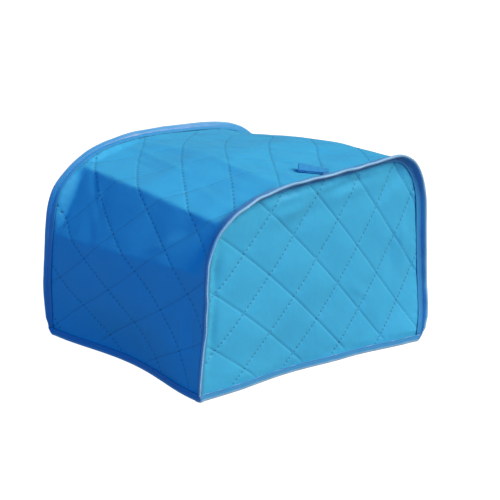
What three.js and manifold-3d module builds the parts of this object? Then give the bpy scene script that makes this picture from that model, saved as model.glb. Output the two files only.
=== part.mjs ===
// A quilted toaster cover, open at the bottom, as it stands on a table.
// Millimetres, +Z up. The wide front panel faces -Y and the hem stands on Z = 0.
import * as THREE from 'three';
import Module from 'manifold-3d';

const wasm = await Module();
wasm.setup();
const { Manifold, Mesh } = wasm;

// Sizes
const gap = 0.3;
const clothThickness = 3.0;
const grooveDepth = 1.25;
const pillowDepth = 0.45;
const insideGrooveDepth = 0.35;
const halfDepth = 100;
const hemEdgeHeight = 1.3;
const hemBandHeight = 7.0;
const hemTapeThickness = 1.0;
const hemSqueezeOutside = 0.6;
const hemSqueezeInside = 2.2;
const hemSlack = 0.45;
const panelInset = clothThickness + gap + 0.3;
const seamTapeThickness = 3.0;
const topCrown = 6;

// Moves every piece so that the origin is on the table under the middle of the cover's box.
const originShift = { x: -0.0933, y: 2.785 };

// The gusset's outer face where it meets the front panel and where it meets the back panel,
// from the left hem over the top to the right hem.
const seamLines = [
  { frontX: -143.0, frontZ: 0.0, backX: -146.0, backZ: 0.0 },
  { frontX: -145.0, frontZ: 30.0, backX: -149.5, backZ: 30.0 },
  { frontX: -145.0, frontZ: 62.0, backX: -152.5, backZ: 55.0 },
  { frontX: -146.0, frontZ: 92.0, backX: -153.5, backZ: 79.0 },
  { frontX: -148.0, frontZ: 118.0, backX: -153.5, backZ: 103.0 },
  { frontX: -147.5, frontZ: 135.0, backX: -152.5, backZ: 124.0 },
  { frontX: -144.0, frontZ: 149.0, backX: -148.0, backZ: 141.0 },
  { frontX: -136.0, frontZ: 160.0, backX: -138.0, backZ: 154.0 },
  { frontX: -124.5, frontZ: 169.5, backX: -124.0, backZ: 165.0 },
  { frontX: -110.0, frontZ: 177.0, backX: -108.0, backZ: 173.0 },
  { frontX: -94.0, frontZ: 182.5, backX: -90.0, backZ: 178.0 },
  { frontX: -70.0, frontZ: 186.5, backX: -66.0, backZ: 181.5 },
  { frontX: -35.0, frontZ: 189.5, backX: -32.0, backZ: 183.0 },
  { frontX: 5.0, frontZ: 191.0, backX: 5.0, backZ: 182.0 },
  { frontX: 45.0, frontZ: 193.0, backX: 42.0, backZ: 180.0 },
  { frontX: 74.0, frontZ: 195.0, backX: 68.0, backZ: 176.5 },
  { frontX: 93.0, frontZ: 194.8, backX: 86.0, backZ: 171.5 },
  { frontX: 107.0, frontZ: 190.0, backX: 101.0, backZ: 164.0 },
  { frontX: 118.0, frontZ: 181.0, backX: 114.0, backZ: 154.0 },
  { frontX: 127.0, frontZ: 169.0, backX: 124.0, backZ: 142.0 },
  { frontX: 133.5, frontZ: 155.0, backX: 131.0, backZ: 128.0 },
  { frontX: 138.0, frontZ: 137.0, backX: 136.0, backZ: 111.0 },
  { frontX: 143.0, frontZ: 110.0, backX: 140.0, backZ: 88.0 },
  { frontX: 148.5, frontZ: 82.0, backX: 143.5, backZ: 66.0 },
  { frontX: 152.5, frontZ: 56.0, backX: 146.0, backZ: 46.0 },
  { frontX: 154.0, frontZ: 30.0, backX: 147.5, backZ: 30.0 },
  { frontX: 151.0, frontZ: 0.0, backX: 145.0, backZ: 0.0 },
];
const lastStation = seamLines.length - 1;

// The creased left shoulder of the gusset, away from the two seams.
const crease = {
  startStation: 4.0,
  endStation: 11.4,
  x: -128,
  z: 166,
  frontDrop: 4,
  place: 0.46,
  roundness: 0.1,
  seamFade: 0.36,
};

// Soft hollows, or with a negative depth soft rises, pressed into a face.
// Across is X on the panels and Y on the gusset; up is Z on the panels and cloth length on the gusset.
const frontHollows = [
  { across: -135, up: 116, halfAcross: 8, halfUp: 30, turn: 0, depth: 2.4 },
  { across: -133, up: 52, halfAcross: 9, halfUp: 30, turn: 0, depth: 1.6 },
  { across: -46, up: 166, halfAcross: 34, halfUp: 9, turn: 14, depth: -1.6 },
  { across: -22, up: 157, halfAcross: 26, halfUp: 9, turn: 18, depth: 1.9 },
  { across: 30, up: 171, halfAcross: 30, halfUp: 8, turn: 12, depth: -1.5 },
  { across: 40, up: 178, halfAcross: 30, halfUp: 6, turn: 4, depth: 1.4 },
  { across: 95, up: 172, halfAcross: 22, halfUp: 9, turn: 40, depth: 1.4 },
];
const gussetHollows = [
  { across: -64, up: 153, halfAcross: 20, halfUp: 8, turn: -12, depth: 3.4 },
  { across: -52, up: 139, halfAcross: 18, halfUp: 6, turn: -20, depth: -1.6 },
  { across: 52, up: 136, halfAcross: 7, halfUp: 26, turn: -8, depth: 1.8 },
  { across: 68, up: 128, halfAcross: 6, halfUp: 22, turn: -8, depth: -1.2 },
  { across: -82, up: 60, halfAcross: 8, halfUp: 40, turn: 0, depth: 1.8 },
];

// How far the seam binding stands out and which way it leans, by cloth length.
const seamBindingShape = [
  { length: 0, width: 3.4, lean: 45 },
  { length: 8, width: 3.8, lean: 45 },
  { length: 18, width: 6.6, lean: 46 },
  { length: 32, width: 8.0, lean: 43 },
  { length: 75, width: 7.6, lean: 41 },
  { length: 120, width: 8.3, lean: 48 },
  { length: 165, width: 8.4, lean: 50 },
  { length: 210, width: 8.0, lean: 44 },
  { length: 270, width: 7.5, lean: 40 },
  { length: 330, width: 7.8, lean: 46 },
  { length: 390, width: 8.4, lean: 50 },
  { length: 430, width: 8.6, lean: 44 },
  { length: 480, width: 8.2, lean: 40 },
  { length: 540, width: 7.8, lean: 45 },
  { length: 588, width: 7.8, lean: 45 },
  { length: 600, width: 6.4, lean: 45 },
  { length: 608, width: 3.8, lean: 45 },
  { length: 620, width: 3.4, lean: 45 },
];

// The hem binding's four walls as they turn a corner, from the gusset's side to the panel's side.
// Out is away from the gusset, ahead is away from the panel.
const hemCorner = [
  { outer: [0.8, -5.5], slotOuter: [-0.2, -5.5], slotInner: [-2.6, -5.5], inner: [-3.6, -5.5] },
  { outer: [1.5, -1.8], slotOuter: [-0.2, -1.8], slotInner: [-2.6, -4.0], inner: [-3.6, -4.6] },
  { outer: [3.1, 1.5], slotOuter: [-0.2, 0.0], slotInner: [-2.6, -3.1], inner: [-3.6, -4.0] },
  { outer: [2.8, 2.8], slotOuter: [-0.2, 0.3], slotInner: [-2.6, -2.6], inner: [-3.6, -3.6] },
  { outer: [1.5, 3.1], slotOuter: [-0.6, 0.3], slotInner: [-3.1, -2.6], inner: [-4.0, -3.6] },
  { outer: [-1.8, 1.5], slotOuter: [-2.6, 0.3], slotInner: [-4.0, -2.6], inner: [-4.6, -3.6] },
  { outer: [-5.5, 0.8], slotOuter: [-5.5, -0.2], slotInner: [-5.5, -2.6], inner: [-5.5, -3.6] },
];

// The quilting lines cross in a slanted lattice: first and second are the steps between crossings.
const panelQuilting = { origin: [-158.2, 73.4], first: [26.5, 32.3], second: [33.8, -29.4] };
const gussetQuilting = { origin: [78.3, 128.4], first: [31.6, 25.9], second: [-31.9, 25.1] };
const backQuilting = { origin: [-140.0, 60.0], first: [26.5, 32.3], second: [33.8, -29.4] };
const outsideLines = [0, 0.058, 0.5, 0.942];
const insideLines = [0, 0.5];

// The gusset's inside needs short steps along the strip to follow the shoulders.
const gussetInside = { origin: [-100, 0], first: [200, 0], second: [0, 8] };
const acrossLines = [0, 0.02, 0.09, 0.22, 0.5, 0.78, 0.91, 0.98];
const wholeLines = [0];

const tab = {
  rootX: 2,
  rootY: -97.85,
  length: 28.5,
  width: 9.5,
  turn: 43,
  thickness: 1.0,
  opening: 0.7,
  endLift: 2.2,
  sideLift: 1.6,
};

const clothMaterial = () => new THREE.MeshStandardMaterial({ color: 0x2f93d0, roughness: 0.62, metalness: 0 });
const tapeMaterial = () => new THREE.MeshStandardMaterial({ color: 0x4f86c9, roughness: 0.5, metalness: 0 });

// Plain number helpers
function clamp(value, low, high) {
  return Math.min(Math.max(value, low), high);
}

function smooth(from, to, value) {
  const part = clamp((value - from) / (to - from), 0, 1);
  return part * part * (3 - 2 * part);
}

function hill(value, centre, halfWidth) {
  const part = clamp(Math.abs(value - centre) / halfWidth, 0, 1);
  return (1 - part * part) ** 2;
}

function cubicThrough(before, start, end, after, part) {
  const slope = end - before;
  const bend = 2 * before - 5 * start + 4 * end - after;
  const twist = 3 * start - before - 3 * end + after;
  return 0.5 * (2 * start + slope * part + bend * part ** 2 + twist * part ** 3);
}

function seamValue(column, station) {
  const place = clamp(station, 0, lastStation);
  const index = Math.min(Math.floor(place), lastStation - 1);
  const start = seamLines[index][column];
  const end = seamLines[index + 1][column];
  const before = index > 0 ? seamLines[index - 1][column] : 2 * start - end;
  const after = index < lastStation - 1 ? seamLines[index + 2][column] : 2 * end - start;
  return cubicThrough(before, start, end, after, place - index);
}

// Cloth length along the front seam, and back from it to the station
const stepsPerStation = 16;
const clothLengths = [0];
for (let step = 1; step <= lastStation * stepsPerStation; step += 1) {
  const here = step / stepsPerStation;
  const last = (step - 1) / stepsPerStation;
  const dx = seamValue('frontX', here) - seamValue('frontX', last);
  const dz = seamValue('frontZ', here) - seamValue('frontZ', last);
  clothLengths.push(clothLengths[step - 1] + Math.hypot(dx, dz));
}
const stripLength = clothLengths[clothLengths.length - 1];

function stationAt(length) {
  const wanted = clamp(length, 0, stripLength);
  let low = 0;
  let high = clothLengths.length - 1;
  while (high - low > 1) {
    const middle = Math.floor((low + high) / 2);
    if (clothLengths[middle] <= wanted) {
      low = middle;
    } else {
      high = middle;
    }
  }
  const part = (wanted - clothLengths[low]) / (clothLengths[high] - clothLengths[low]);
  return (low + part) / stepsPerStation;
}

function lengthAt(station) {
  const place = station * stepsPerStation;
  const index = Math.min(Math.floor(place), clothLengths.length - 2);
  return clothLengths[index] + (clothLengths[index + 1] - clothLengths[index]) * (place - index);
}

function fromTable(rows, key, column, value) {
  let index = 0;
  while (index < rows.length - 2 && value > rows[index + 1][key]) {
    index += 1;
  }
  const start = rows[index];
  const end = rows[index + 1];
  const part = smooth(start[key], end[key], value);
  return start[column] + (end[column] - start[column]) * part;
}

// The standing faces
function frontFaceY(x, z) {
  const low = Math.exp(-((z / 45) ** 2));
  return -halfDepth + low * (4 * hill(x, -25, 75) - 8.5 * smooth(55, 150, x));
}

function backFaceY(x, z) {
  const low = Math.exp(-((z / 45) ** 2));
  return halfDepth - low * 5 * hill(x, 10, 120);
}

// One point of the gusset's outer face before it is creased; across runs from -1 at the front seam to 1.
function roundGussetFace(length, across) {
  const station = stationAt(length);
  const frontX = seamValue('frontX', station);
  const frontZ = seamValue('frontZ', station);
  const backX = seamValue('backX', station);
  const backZ = seamValue('backZ', station);
  const even = 0.5 + 0.5 * across;
  const eased = 0.5 * even + 0.5 * smooth(0, 1, even);
  let x = frontX + (backX - frontX) * eased;
  let z = frontZ + (backZ - frontZ) * eased;
  const frontY = frontFaceY(frontX, frontZ);
  const y = frontY + (backFaceY(backX, backZ) - frontY) * even;
  const arch = 1 - smooth(0, 1, Math.abs(across));
  const onTop = smooth(9.5, 12.5, station) * (1 - smooth(15, 20.5, station));
  z += topCrown * arch * onTop;
  const low = Math.exp(-((z / 42) ** 2));
  const leftSide = 1 - smooth(3.5, 6.5, station);
  const rightSide = smooth(19.5, 22.5, station);
  x += leftSide * (12 * hill(y, 3, 91) * low - 2 * hill(z, 85, 70) * arch);
  x -= rightSide * (9 * hill(y, 0, 92) * low - 2 * hill(z, 95, 70) * arch);
  return new THREE.Vector3(x, y, z);
}

function softRamp(part) {
  const { place, roundness } = crease;
  const bend = clamp((part - place + roundness / 2) / roundness, 0, 1);
  return roundness * (bend ** 3 - bend ** 4 / 2) + Math.max(0, part - place - roundness / 2);
}

function gussetFace(length, across) {
  const point = roundGussetFace(length, across);
  const start = lengthAt(crease.startStation);
  const end = lengthAt(crease.endStation);
  if (length <= start || length >= end) {
    return point;
  }
  const lower = roundGussetFace(start, across);
  const upper = roundGussetFace(end, across);
  const creaseX = crease.x + 3 * smooth(0, 1, across);
  const creaseZ = crease.z - crease.frontDrop * smooth(0.2, -0.8, across);
  const ramp = softRamp((length - start) / (end - start));
  const wholeRamp = softRamp(1);
  const upperPart = ramp / wholeRamp;
  const lowerPart = ((length - start) / (end - start) - ramp) / (1 - wholeRamp);
  const creased = new THREE.Vector3(
    lower.x + (creaseX - lower.x) * lowerPart + (upper.x - creaseX) * upperPart,
    point.y,
    lower.z + (creaseZ - lower.z) * lowerPart + (upper.z - creaseZ) * upperPart,
  );
  const share = smooth(0, 1, (1 - Math.abs(across)) / crease.seamFade);
  return point.lerp(creased, share);
}

function gussetNormal(length, across) {
  const step = 0.6;
  const alongStart = gussetFace(Math.max(length - step, 0), across);
  const along = gussetFace(Math.min(length + step, stripLength), across).sub(alongStart);
  const sideStart = gussetFace(length, Math.max(across - 0.01, -1));
  const side = gussetFace(length, Math.min(across + 0.01, 1)).sub(sideStart);
  return along.cross(side).normalize();
}

function hollowDepth(rows, across, up, edgeDistance) {
  let depth = 0;
  for (const row of rows) {
    const turn = THREE.MathUtils.degToRad(row.turn);
    const da = across - row.across;
    const du = up - row.up;
    const first = (da * Math.cos(turn) + du * Math.sin(turn)) / row.halfAcross;
    const second = (du * Math.cos(turn) - da * Math.sin(turn)) / row.halfUp;
    depth += row.depth * Math.exp(-(first ** 2) - second ** 2);
  }
  return depth * smooth(0, 9, edgeDistance);
}

// Solids
function solidFrom(points, triangles) {
  const vertProperties = new Float32Array(points.flat());
  const triVerts = new Uint32Array(triangles.flat());
  return new Manifold(new Mesh({ numProp: 3, vertProperties, triVerts }));
}

// A closed block whose top follows the quilting: flat coordinates across, up and height.
function quiltedBlock(quilting, firstLines, secondLines, box, heightAt, floorHeight) {
  const { origin, first, second } = quilting;
  const spread = first[0] * second[1] - first[1] * second[0];
  const firsts = [];
  const seconds = [];
  for (const across of [box.left, box.right]) {
    for (const up of [box.bottom, box.top]) {
      const da = across - origin[0];
      const du = up - origin[1];
      firsts.push((da * second[1] - du * second[0]) / spread);
      seconds.push((first[0] * du - first[1] * da) / spread);
    }
  }
  const places = (values, lines) => {
    const list = [];
    for (let whole = Math.floor(Math.min(...values)) - 1; whole <= Math.max(...values) + 1; whole += 1) {
      lines.forEach((line) => list.push(whole + line));
    }
    return list;
  };
  const firstPlaces = places(firsts, firstLines);
  const secondPlaces = places(seconds, secondLines);
  const tops = [];
  const floors = [];
  for (const a of firstPlaces) {
    for (const b of secondPlaces) {
      const across = origin[0] + a * first[0] + b * second[0];
      const up = origin[1] + a * first[1] + b * second[1];
      tops.push([across, up, heightAt(a, b)]);
      floors.push([across, up, floorHeight]);
    }
  }
  const columns = secondPlaces.length;
  const lowerStart = tops.length;
  const triangles = [];
  const quad = (p, q, r, s) => triangles.push([p, q, s], [q, r, s]);
  for (let i = 0; i + 1 < firstPlaces.length; i += 1) {
    for (let j = 0; j + 1 < columns; j += 1) {
      const p = i * columns + j;
      const q = (i + 1) * columns + j;
      quad(p, q, q + 1, p + 1);
      quad(lowerStart + p, lowerStart + p + 1, lowerStart + q + 1, lowerStart + q);
    }
  }
  const rim = [];
  for (let i = 0; i < firstPlaces.length - 1; i += 1) rim.push(i * columns);
  for (let j = 0; j < columns - 1; j += 1) rim.push((firstPlaces.length - 1) * columns + j);
  for (let i = firstPlaces.length - 1; i > 0; i -= 1) rim.push(i * columns + columns - 1);
  for (let j = columns - 1; j > 0; j -= 1) rim.push(j);
  rim.forEach((here, index) => {
    const next = rim[(index + 1) % rim.length];
    quad(lowerStart + here, lowerStart + next, next, here);
  });
  if (spread < 0) {
    triangles.forEach((triangle) => triangle.reverse());
  }
  return solidFrom(tops.concat(floors), triangles);
}

function outsideHeight(quilting) {
  const { first, second } = quilting;
  const spread = Math.abs(first[0] * second[1] - first[1] * second[0]);
  const firstSpacing = spread / Math.hypot(second[0], second[1]);
  const secondSpacing = spread / Math.hypot(first[0], first[1]);
  return (a, b) => {
    const fromFirst = Math.abs(a - Math.round(a)) * firstSpacing;
    const fromSecond = Math.abs(b - Math.round(b)) * secondSpacing;
    const near = Math.min(fromFirst, fromSecond);
    const groove = (grooveDepth - pillowDepth) * Math.exp(-((near / 1.6) ** 2));
    return -groove - pillowDepth * (1 - smooth(0, 13, near));
  };
}

function insideHeight(a, b) {
  const onLine = Math.min(Math.abs(a - Math.round(a)), Math.abs(b - Math.round(b))) < 0.1;
  return -clothThickness + (onLine ? insideGrooveDepth : 0);
}

function gussetInsideHeight(a, b) {
  const inSeam = Math.abs(a - Math.round(a)) < 0.01;
  const even = Math.round(a * 9 + b) % 2 === 0;
  return -clothThickness + (even && !inSeam ? insideGrooveDepth : 0);
}

// A prism cut from an outline. Its sides step in and out by a hair, so that no facet runs
// far along a side and the cloth can be bent afterwards.
const facetLength = 13;
const facetStep = 0.02;

function facetedSide(start, end) {
  const size = Math.hypot(end[0] - start[0], end[1] - start[1]);
  const count = Math.max(1, Math.round(size / facetLength));
  return Array.from({ length: count }, (_, index) => {
    const part = index / count;
    const step = index % 2 === 0 ? 0 : facetStep;
    return [
      start[0] + (end[0] - start[0]) * part - ((end[1] - start[1]) / size) * step,
      start[1] + (end[1] - start[1]) * part + ((end[0] - start[0]) / size) * step,
    ];
  });
}

function prismFrom(outline) {
  const points = outline.flatMap((corner, index) => facetedSide(corner, outline[(index + 1) % outline.length]));
  return Manifold.extrude([points], 24).translate([0, 0, -12]);
}

function quiltedCloth(quilting, inside, box, prism) {
  const height = outsideHeight(quilting);
  const outside = quiltedBlock(quilting, outsideLines, outsideLines, box, height, -20);
  return outside.intersect(prism).subtract(inside);
}

// A flat solid bent into place, its faces turned outwards
function facingOut(positions, triangles) {
  let volume = 0;
  const corner = (index) => new THREE.Vector3().fromArray(positions, index * 3);
  for (let index = 0; index < triangles.length; index += 3) {
    const side = corner(triangles[index + 1]).cross(corner(triangles[index + 2]));
    volume += corner(triangles[index]).dot(side);
  }
  return volume < 0 ? triangles.reverse() : triangles;
}

function placedSolid(solid, place) {
  const { vertProperties, triVerts, numProp } = solid.getMesh();
  const positions = [];
  for (let vertex = 0; vertex < vertProperties.length; vertex += numProp) {
    const point = place(vertProperties[vertex], vertProperties[vertex + 1], vertProperties[vertex + 2]);
    positions.push(point.x, point.y, point.z);
  }
  const triangles = facingOut(positions, Array.from(triVerts));
  return new Manifold(new Mesh({
    numProp: 3,
    vertProperties: new Float32Array(positions),
    triVerts: new Uint32Array(triangles),
  }));
}

// Rings of points joined one after the other, closed on themselves or capped with the given triangles
function ringSolid(rings, capTriangles) {
  const count = rings[0].length;
  const positions = rings.flat().flatMap((point) => [point.x, point.y, point.z]);
  const triangles = [];
  const ringCount = capTriangles ? rings.length - 1 : rings.length;
  for (let ring = 0; ring < ringCount; ring += 1) {
    const here = ring * count;
    const there = ((ring + 1) % rings.length) * count;
    for (let side = 0; side < count; side += 1) {
      const next = (side + 1) % count;
      triangles.push(here + side, there + side, there + next);
      triangles.push(here + side, there + next, here + next);
    }
  }
  const far = (rings.length - 1) * count;
  for (const [p, q, r] of capTriangles ?? []) {
    triangles.push(p, q, r, far + r, far + q, far + p);
  }
  return new Manifold(new Mesh({
    numProp: 3,
    vertProperties: new Float32Array(positions),
    triVerts: new Uint32Array(facingOut(positions, triangles)),
  }));
}

function meshFrom(name, solid, material) {
  const { vertProperties, triVerts } = solid.getMesh();
  const geometry = new THREE.BufferGeometry();
  geometry.setAttribute('position', new THREE.Float32BufferAttribute(Array.from(vertProperties), 3));
  geometry.setIndex(Array.from(triVerts));
  geometry.computeVertexNormals();
  const mesh = new THREE.Mesh(geometry, material);
  mesh.name = name;
  mesh.position.set(originShift.x, originShift.y, 0);
  return mesh;
}

// The squeezed edge of the cloth that goes down into the hem binding
const hemFlapTop = hemBandHeight + 2.5;
const flapCap = [[0, 1, 2], [0, 2, 3]];

function hemFlap(places, bottom, placeAt) {
  const rings = places.map((across) => [
    placeAt(across, bottom, -hemSqueezeOutside),
    placeAt(across, hemFlapTop, -hemSqueezeOutside),
    placeAt(across, hemFlapTop, -hemSqueezeInside),
    placeAt(across, bottom, -hemSqueezeInside),
  ]);
  return ringSolid(rings, flapCap);
}

function spread(from, to, steps) {
  return Array.from({ length: steps + 1 }, (_, index) => from + ((to - from) * index) / steps);
}

// The front and back panels
function panelOutline(xColumn, zColumn) {
  const points = [];
  for (let step = 0; step <= lastStation * 2; step += 1) {
    const station = step / 2;
    const dx = seamValue(xColumn, station + 0.05) - seamValue(xColumn, station - 0.05);
    const dz = seamValue(zColumn, station + 0.05) - seamValue(zColumn, station - 0.05);
    const size = Math.hypot(dx, dz);
    const x = seamValue(xColumn, station) + (dz / size) * panelInset;
    const z = seamValue(zColumn, station) - (dx / size) * panelInset;
    points.push([x, z]);
  }
  return points.reverse();
}

// The outline of the panel's body, cut off level above the hem binding
function aboveHem(outline, level) {
  const kept = outline.filter(([, z]) => z > level + 1);
  const crossing = (points) => {
    const index = points.findIndex(([, z]) => z > level);
    const [lowX, lowZ] = points[index - 1];
    const [highX, highZ] = points[index];
    return lowX + ((highX - lowX) * (level - lowZ)) / (highZ - lowZ);
  };
  const rightX = crossing(outline);
  const leftX = crossing([...outline].reverse());
  return [[rightX, level], ...kept, [leftX, level]];
}

const panelBox = { left: -165, right: 165, bottom: -5, top: 205 };
const hemTop = hemBandHeight + 2 * gap;

function panel(name, outline, quilting, place) {
  const body = aboveHem(outline, hemTop);
  const inside = quiltedBlock(quilting, insideLines, insideLines, panelBox, insideHeight, -30);
  const cloth = placedSolid(quiltedCloth(quilting, inside, panelBox, prismFrom(body)), place);
  const edge = aboveHem(outline, hemEdgeHeight);
  const places = spread(edge[edge.length - 1][0], edge[0][0], 36);
  return meshFrom(name, cloth.add(hemFlap(places, hemEdgeHeight, place)), clothMaterial());
}

// The gusset
const gussetBox = { left: -halfDepth, right: halfDepth, bottom: 0, top: stripLength };
const hemLength = hemEdgeHeight + 0.25;

function placeOnGusset(y, length, height) {
  const across = clamp(y / halfDepth, -1, 1);
  const edgeDistance = Math.min(halfDepth - Math.abs(y), length - 8, stripLength - 8 - length);
  const out = height - hollowDepth(gussetHollows, y, length, edgeDistance);
  return gussetFace(length, across).addScaledVector(gussetNormal(length, across), out);
}

function gusset() {
  const low = hemTop + gap;
  const high = stripLength - low;
  const edge = halfDepth - 3 * facetStep;
  const outline = [[-edge, low], [edge, low], [edge, high], [-edge, high]];
  const inside = quiltedBlock(gussetInside, acrossLines, wholeLines, gussetBox, gussetInsideHeight, -30);
  const flat = quiltedCloth(gussetQuilting, inside, gussetBox, prismFrom(outline));
  const places = [-edge, -97, -93, ...spread(-86, 86, 16), 93, 97, edge];
  const leftFlap = hemFlap(places, hemLength, placeOnGusset);
  const rightFlap = hemFlap(places, hemLength, (y, up, height) => placeOnGusset(y, stripLength - up, height));
  const cloth = placedSolid(flat, placeOnGusset).add(leftFlap).add(rightFlap);
  return meshFrom('gusset', cloth, clothMaterial());
}

// The folded tape round each seam, in the plane across the seam: out from the gusset and ahead of the panel.
function seamProfile(width, lean) {
  const angle = THREE.MathUtils.degToRad(lean);
  const out = [Math.cos(angle), Math.sin(angle)];
  const side = [Math.sin(angle), -Math.cos(angle)];
  const half = seamTapeThickness / 2;
  const at = (far, off) => [out[0] * far + side[0] * off, out[1] * far + side[1] * off];
  return [
    [gap + 0.15, gap + 0.15],
    [gap + 0.5, -1.7],
    at(1.2, half),
    at(width - 0.9, half),
    at(width, 0),
    at(width - 0.9, -half),
    at(1.2, -half),
    [-4.0, gap + 0.1],
  ];
}

function seamBinding(name, across) {
  const rings = [];
  const start = hemBandHeight + gap + 0.4;
  const steps = 58;
  const ahead = new THREE.Vector3(0, across, 0);
  for (let step = 0; step <= steps; step += 1) {
    const length = start + ((stripLength - 2 * start) * step) / steps;
    const root = gussetFace(length, across);
    const along = gussetFace(length + 0.5, across).sub(gussetFace(length - 0.5, across));
    const out = new THREE.Vector3(-along.z, 0, along.x).normalize();
    const width = fromTable(seamBindingShape, 'length', 'width', length);
    const lean = fromTable(seamBindingShape, 'length', 'lean', length);
    rings.push(seamProfile(width, lean).map(([far, forward]) => root.clone()
      .addScaledVector(out, far)
      .addScaledVector(ahead, forward)));
  }
  const flat = seamProfile(8, 45).map(([far, forward]) => new THREE.Vector2(far, forward));
  return meshFrom(name, ringSolid(rings, THREE.ShapeUtils.triangulateShape(flat, [])), tapeMaterial());
}

// The folded tape round the hem
const hemWalls = ['outer', 'slotOuter', 'slotInner', 'inner'];
const hemWallDepths = {
  outer: hemSqueezeOutside - hemSlack - hemTapeThickness,
  slotOuter: hemSqueezeOutside - hemSlack,
  slotInner: hemSqueezeInside + hemSlack,
  inner: hemSqueezeInside + hemSlack + hemTapeThickness,
};

function hemRing(placeAt) {
  const at = (wall, height) => {
    const place = placeAt(wall, height);
    return new THREE.Vector3(place[0], place[1], height);
  };
  return [
    at('outer', 0),
    at('outer', hemBandHeight),
    at('slotOuter', hemBandHeight),
    at('slotOuter', hemTapeThickness),
    at('slotInner', hemTapeThickness),
    at('slotInner', hemBandHeight),
    at('inner', hemBandHeight),
    at('inner', 0),
  ];
}

function gussetHemRing(side, across) {
  return hemRing((wall, height) => {
    const length = side < 0 ? height : stripLength - height;
    const point = gussetFace(length, across);
    const normal = gussetNormal(length, across).setZ(0).normalize();
    const depth = hemWallDepths[wall];
    return [point.x - normal.x * depth, point.y - normal.y * depth];
  });
}

function panelHemRing(face, side, x) {
  return hemRing((wall, height) => {
    const slope = (face(x + 0.5, height) - face(x - 0.5, height)) * side;
    const size = Math.hypot(1, slope);
    const depth = hemWallDepths[wall];
    return [x + (slope / size) * depth, face(x, height) - (side / size) * depth];
  });
}

function cornerHemRings(side, across) {
  return hemCorner.map((row) => hemRing((wall, height) => {
    const length = side < 0 ? height : stripLength - height;
    const root = gussetFace(length, across);
    const [out, ahead] = row[wall];
    return [root.x + side * out, root.y + across * ahead];
  }));
}

function hemBinding() {
  const rings = [];
  const sideSteps = 15;
  const panelSteps = 26;
  const across = spread(-0.9, 0.9, sideSteps);
  rings.push(...cornerHemRings(-1, -1).reverse());
  across.forEach((value) => rings.push(gussetHemRing(-1, value)));
  rings.push(...cornerHemRings(-1, 1));
  spread(-134, 133, panelSteps).forEach((x) => rings.push(panelHemRing(backFaceY, 1, x)));
  rings.push(...cornerHemRings(1, 1).reverse());
  across.reverse().forEach((value) => rings.push(gussetHemRing(1, value)));
  rings.push(...cornerHemRings(1, -1));
  spread(139, -131, panelSteps).forEach((x) => rings.push(panelHemRing(frontFaceY, -1, x)));
  return meshFrom('hem_binding', ringSolid(rings, null), tapeMaterial());
}

// The short folded tab that lies on the top behind the front seam
function topHeight(x, y) {
  let low = lengthAt(9);
  let high = lengthAt(18);
  for (let turn = 0; turn < 30; turn += 1) {
    const middle = (low + high) / 2;
    if (gussetFace(middle, y / halfDepth).x < x) {
      low = middle;
    } else {
      high = middle;
    }
  }
  return gussetFace(low, y / halfDepth).z;
}

function tabOutline() {
  const { length, thickness, opening } = tab;
  const outerRadius = thickness + opening / 2;
  const innerRadius = opening / 2;
  const points = [[0, 0]];
  for (const place of [0.3, 0.6, 0.85]) points.push([length * place, 0]);
  const centre = length - outerRadius;
  for (let step = 0; step <= 6; step += 1) {
    const angle = -Math.PI / 2 + (Math.PI * step) / 6;
    points.push([centre + outerRadius * Math.cos(angle), outerRadius + outerRadius * Math.sin(angle)]);
  }
  for (const place of [0.85, 0.6, 0.3, 0]) points.push([length * place, 2 * outerRadius]);
  for (const place of [0, 0.3, 0.6, 0.85]) points.push([length * place, outerRadius + innerRadius]);
  for (let step = 4; step >= 0; step -= 1) {
    const angle = -Math.PI / 2 + (Math.PI * step) / 4;
    points.push([centre + innerRadius * Math.cos(angle), outerRadius + innerRadius * Math.sin(angle)]);
  }
  for (const place of [0.85, 0.6, 0.3, 0]) points.push([length * place, thickness]);
  return points;
}

function topTab() {
  const turn = THREE.MathUtils.degToRad(tab.turn);
  const along = [-Math.sin(turn), Math.cos(turn)];
  const side = [-Math.cos(turn), -Math.sin(turn)];
  const strip = Manifold.extrude([tabOutline()], tab.width, 2);
  const bent = placedSolid(strip, (far, height, wide) => {
    const off = wide - tab.width / 2;
    const x = tab.rootX + along[0] * far + side[0] * off;
    const y = Math.max(tab.rootY + along[1] * far + side[1] * off, tab.rootY);
    const rise = tab.endLift * (far / tab.length) ** 2 + tab.sideLift * (wide / tab.width) * (far / tab.length);
    return new THREE.Vector3(x, y, topHeight(x, y) + gap + 0.15 + rise + height);
  });
  return meshFrom('top_tab', bent, tapeMaterial());
}

function outlineDistance(outline, x, z) {
  let least = z - hemBandHeight - 1;
  for (let index = 0; index + 1 < outline.length; index += 1) {
    const [startX, startZ] = outline[index];
    const [endX, endZ] = outline[index + 1];
    const size = (endX - startX) ** 2 + (endZ - startZ) ** 2;
    const part = clamp(((x - startX) * (endX - startX) + (z - startZ) * (endZ - startZ)) / size, 0, 1);
    const away = Math.hypot(x - startX - (endX - startX) * part, z - startZ - (endZ - startZ) * part);
    least = Math.min(least, away);
  }
  return least;
}

const frontOutline = panelOutline('frontX', 'frontZ');
const backOutline = panelOutline('backX', 'backZ');
const cover = new THREE.Group();
cover.name = 'toaster_cover';
cover.add(panel('front_panel', frontOutline, panelQuilting, (x, z, height) => {
  const edgeDistance = outlineDistance(frontOutline, x, z);
  const out = height - hollowDepth(frontHollows, x, z, edgeDistance);
  return new THREE.Vector3(x, frontFaceY(x, z) - out, z);
}));
cover.add(panel('back_panel', backOutline, backQuilting, (x, z, height) => (
  new THREE.Vector3(x, backFaceY(x, z) + height, z))));
cover.add(gusset());
cover.add(seamBinding('front_seam_binding', -1));
cover.add(seamBinding('back_seam_binding', 1));
cover.add(hemBinding());
cover.add(topTab());

export default cover;
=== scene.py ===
"""A quilted toaster cover, dressed over its solids. Millimetres in the shape tables, metres in Blender."""

import math

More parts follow.
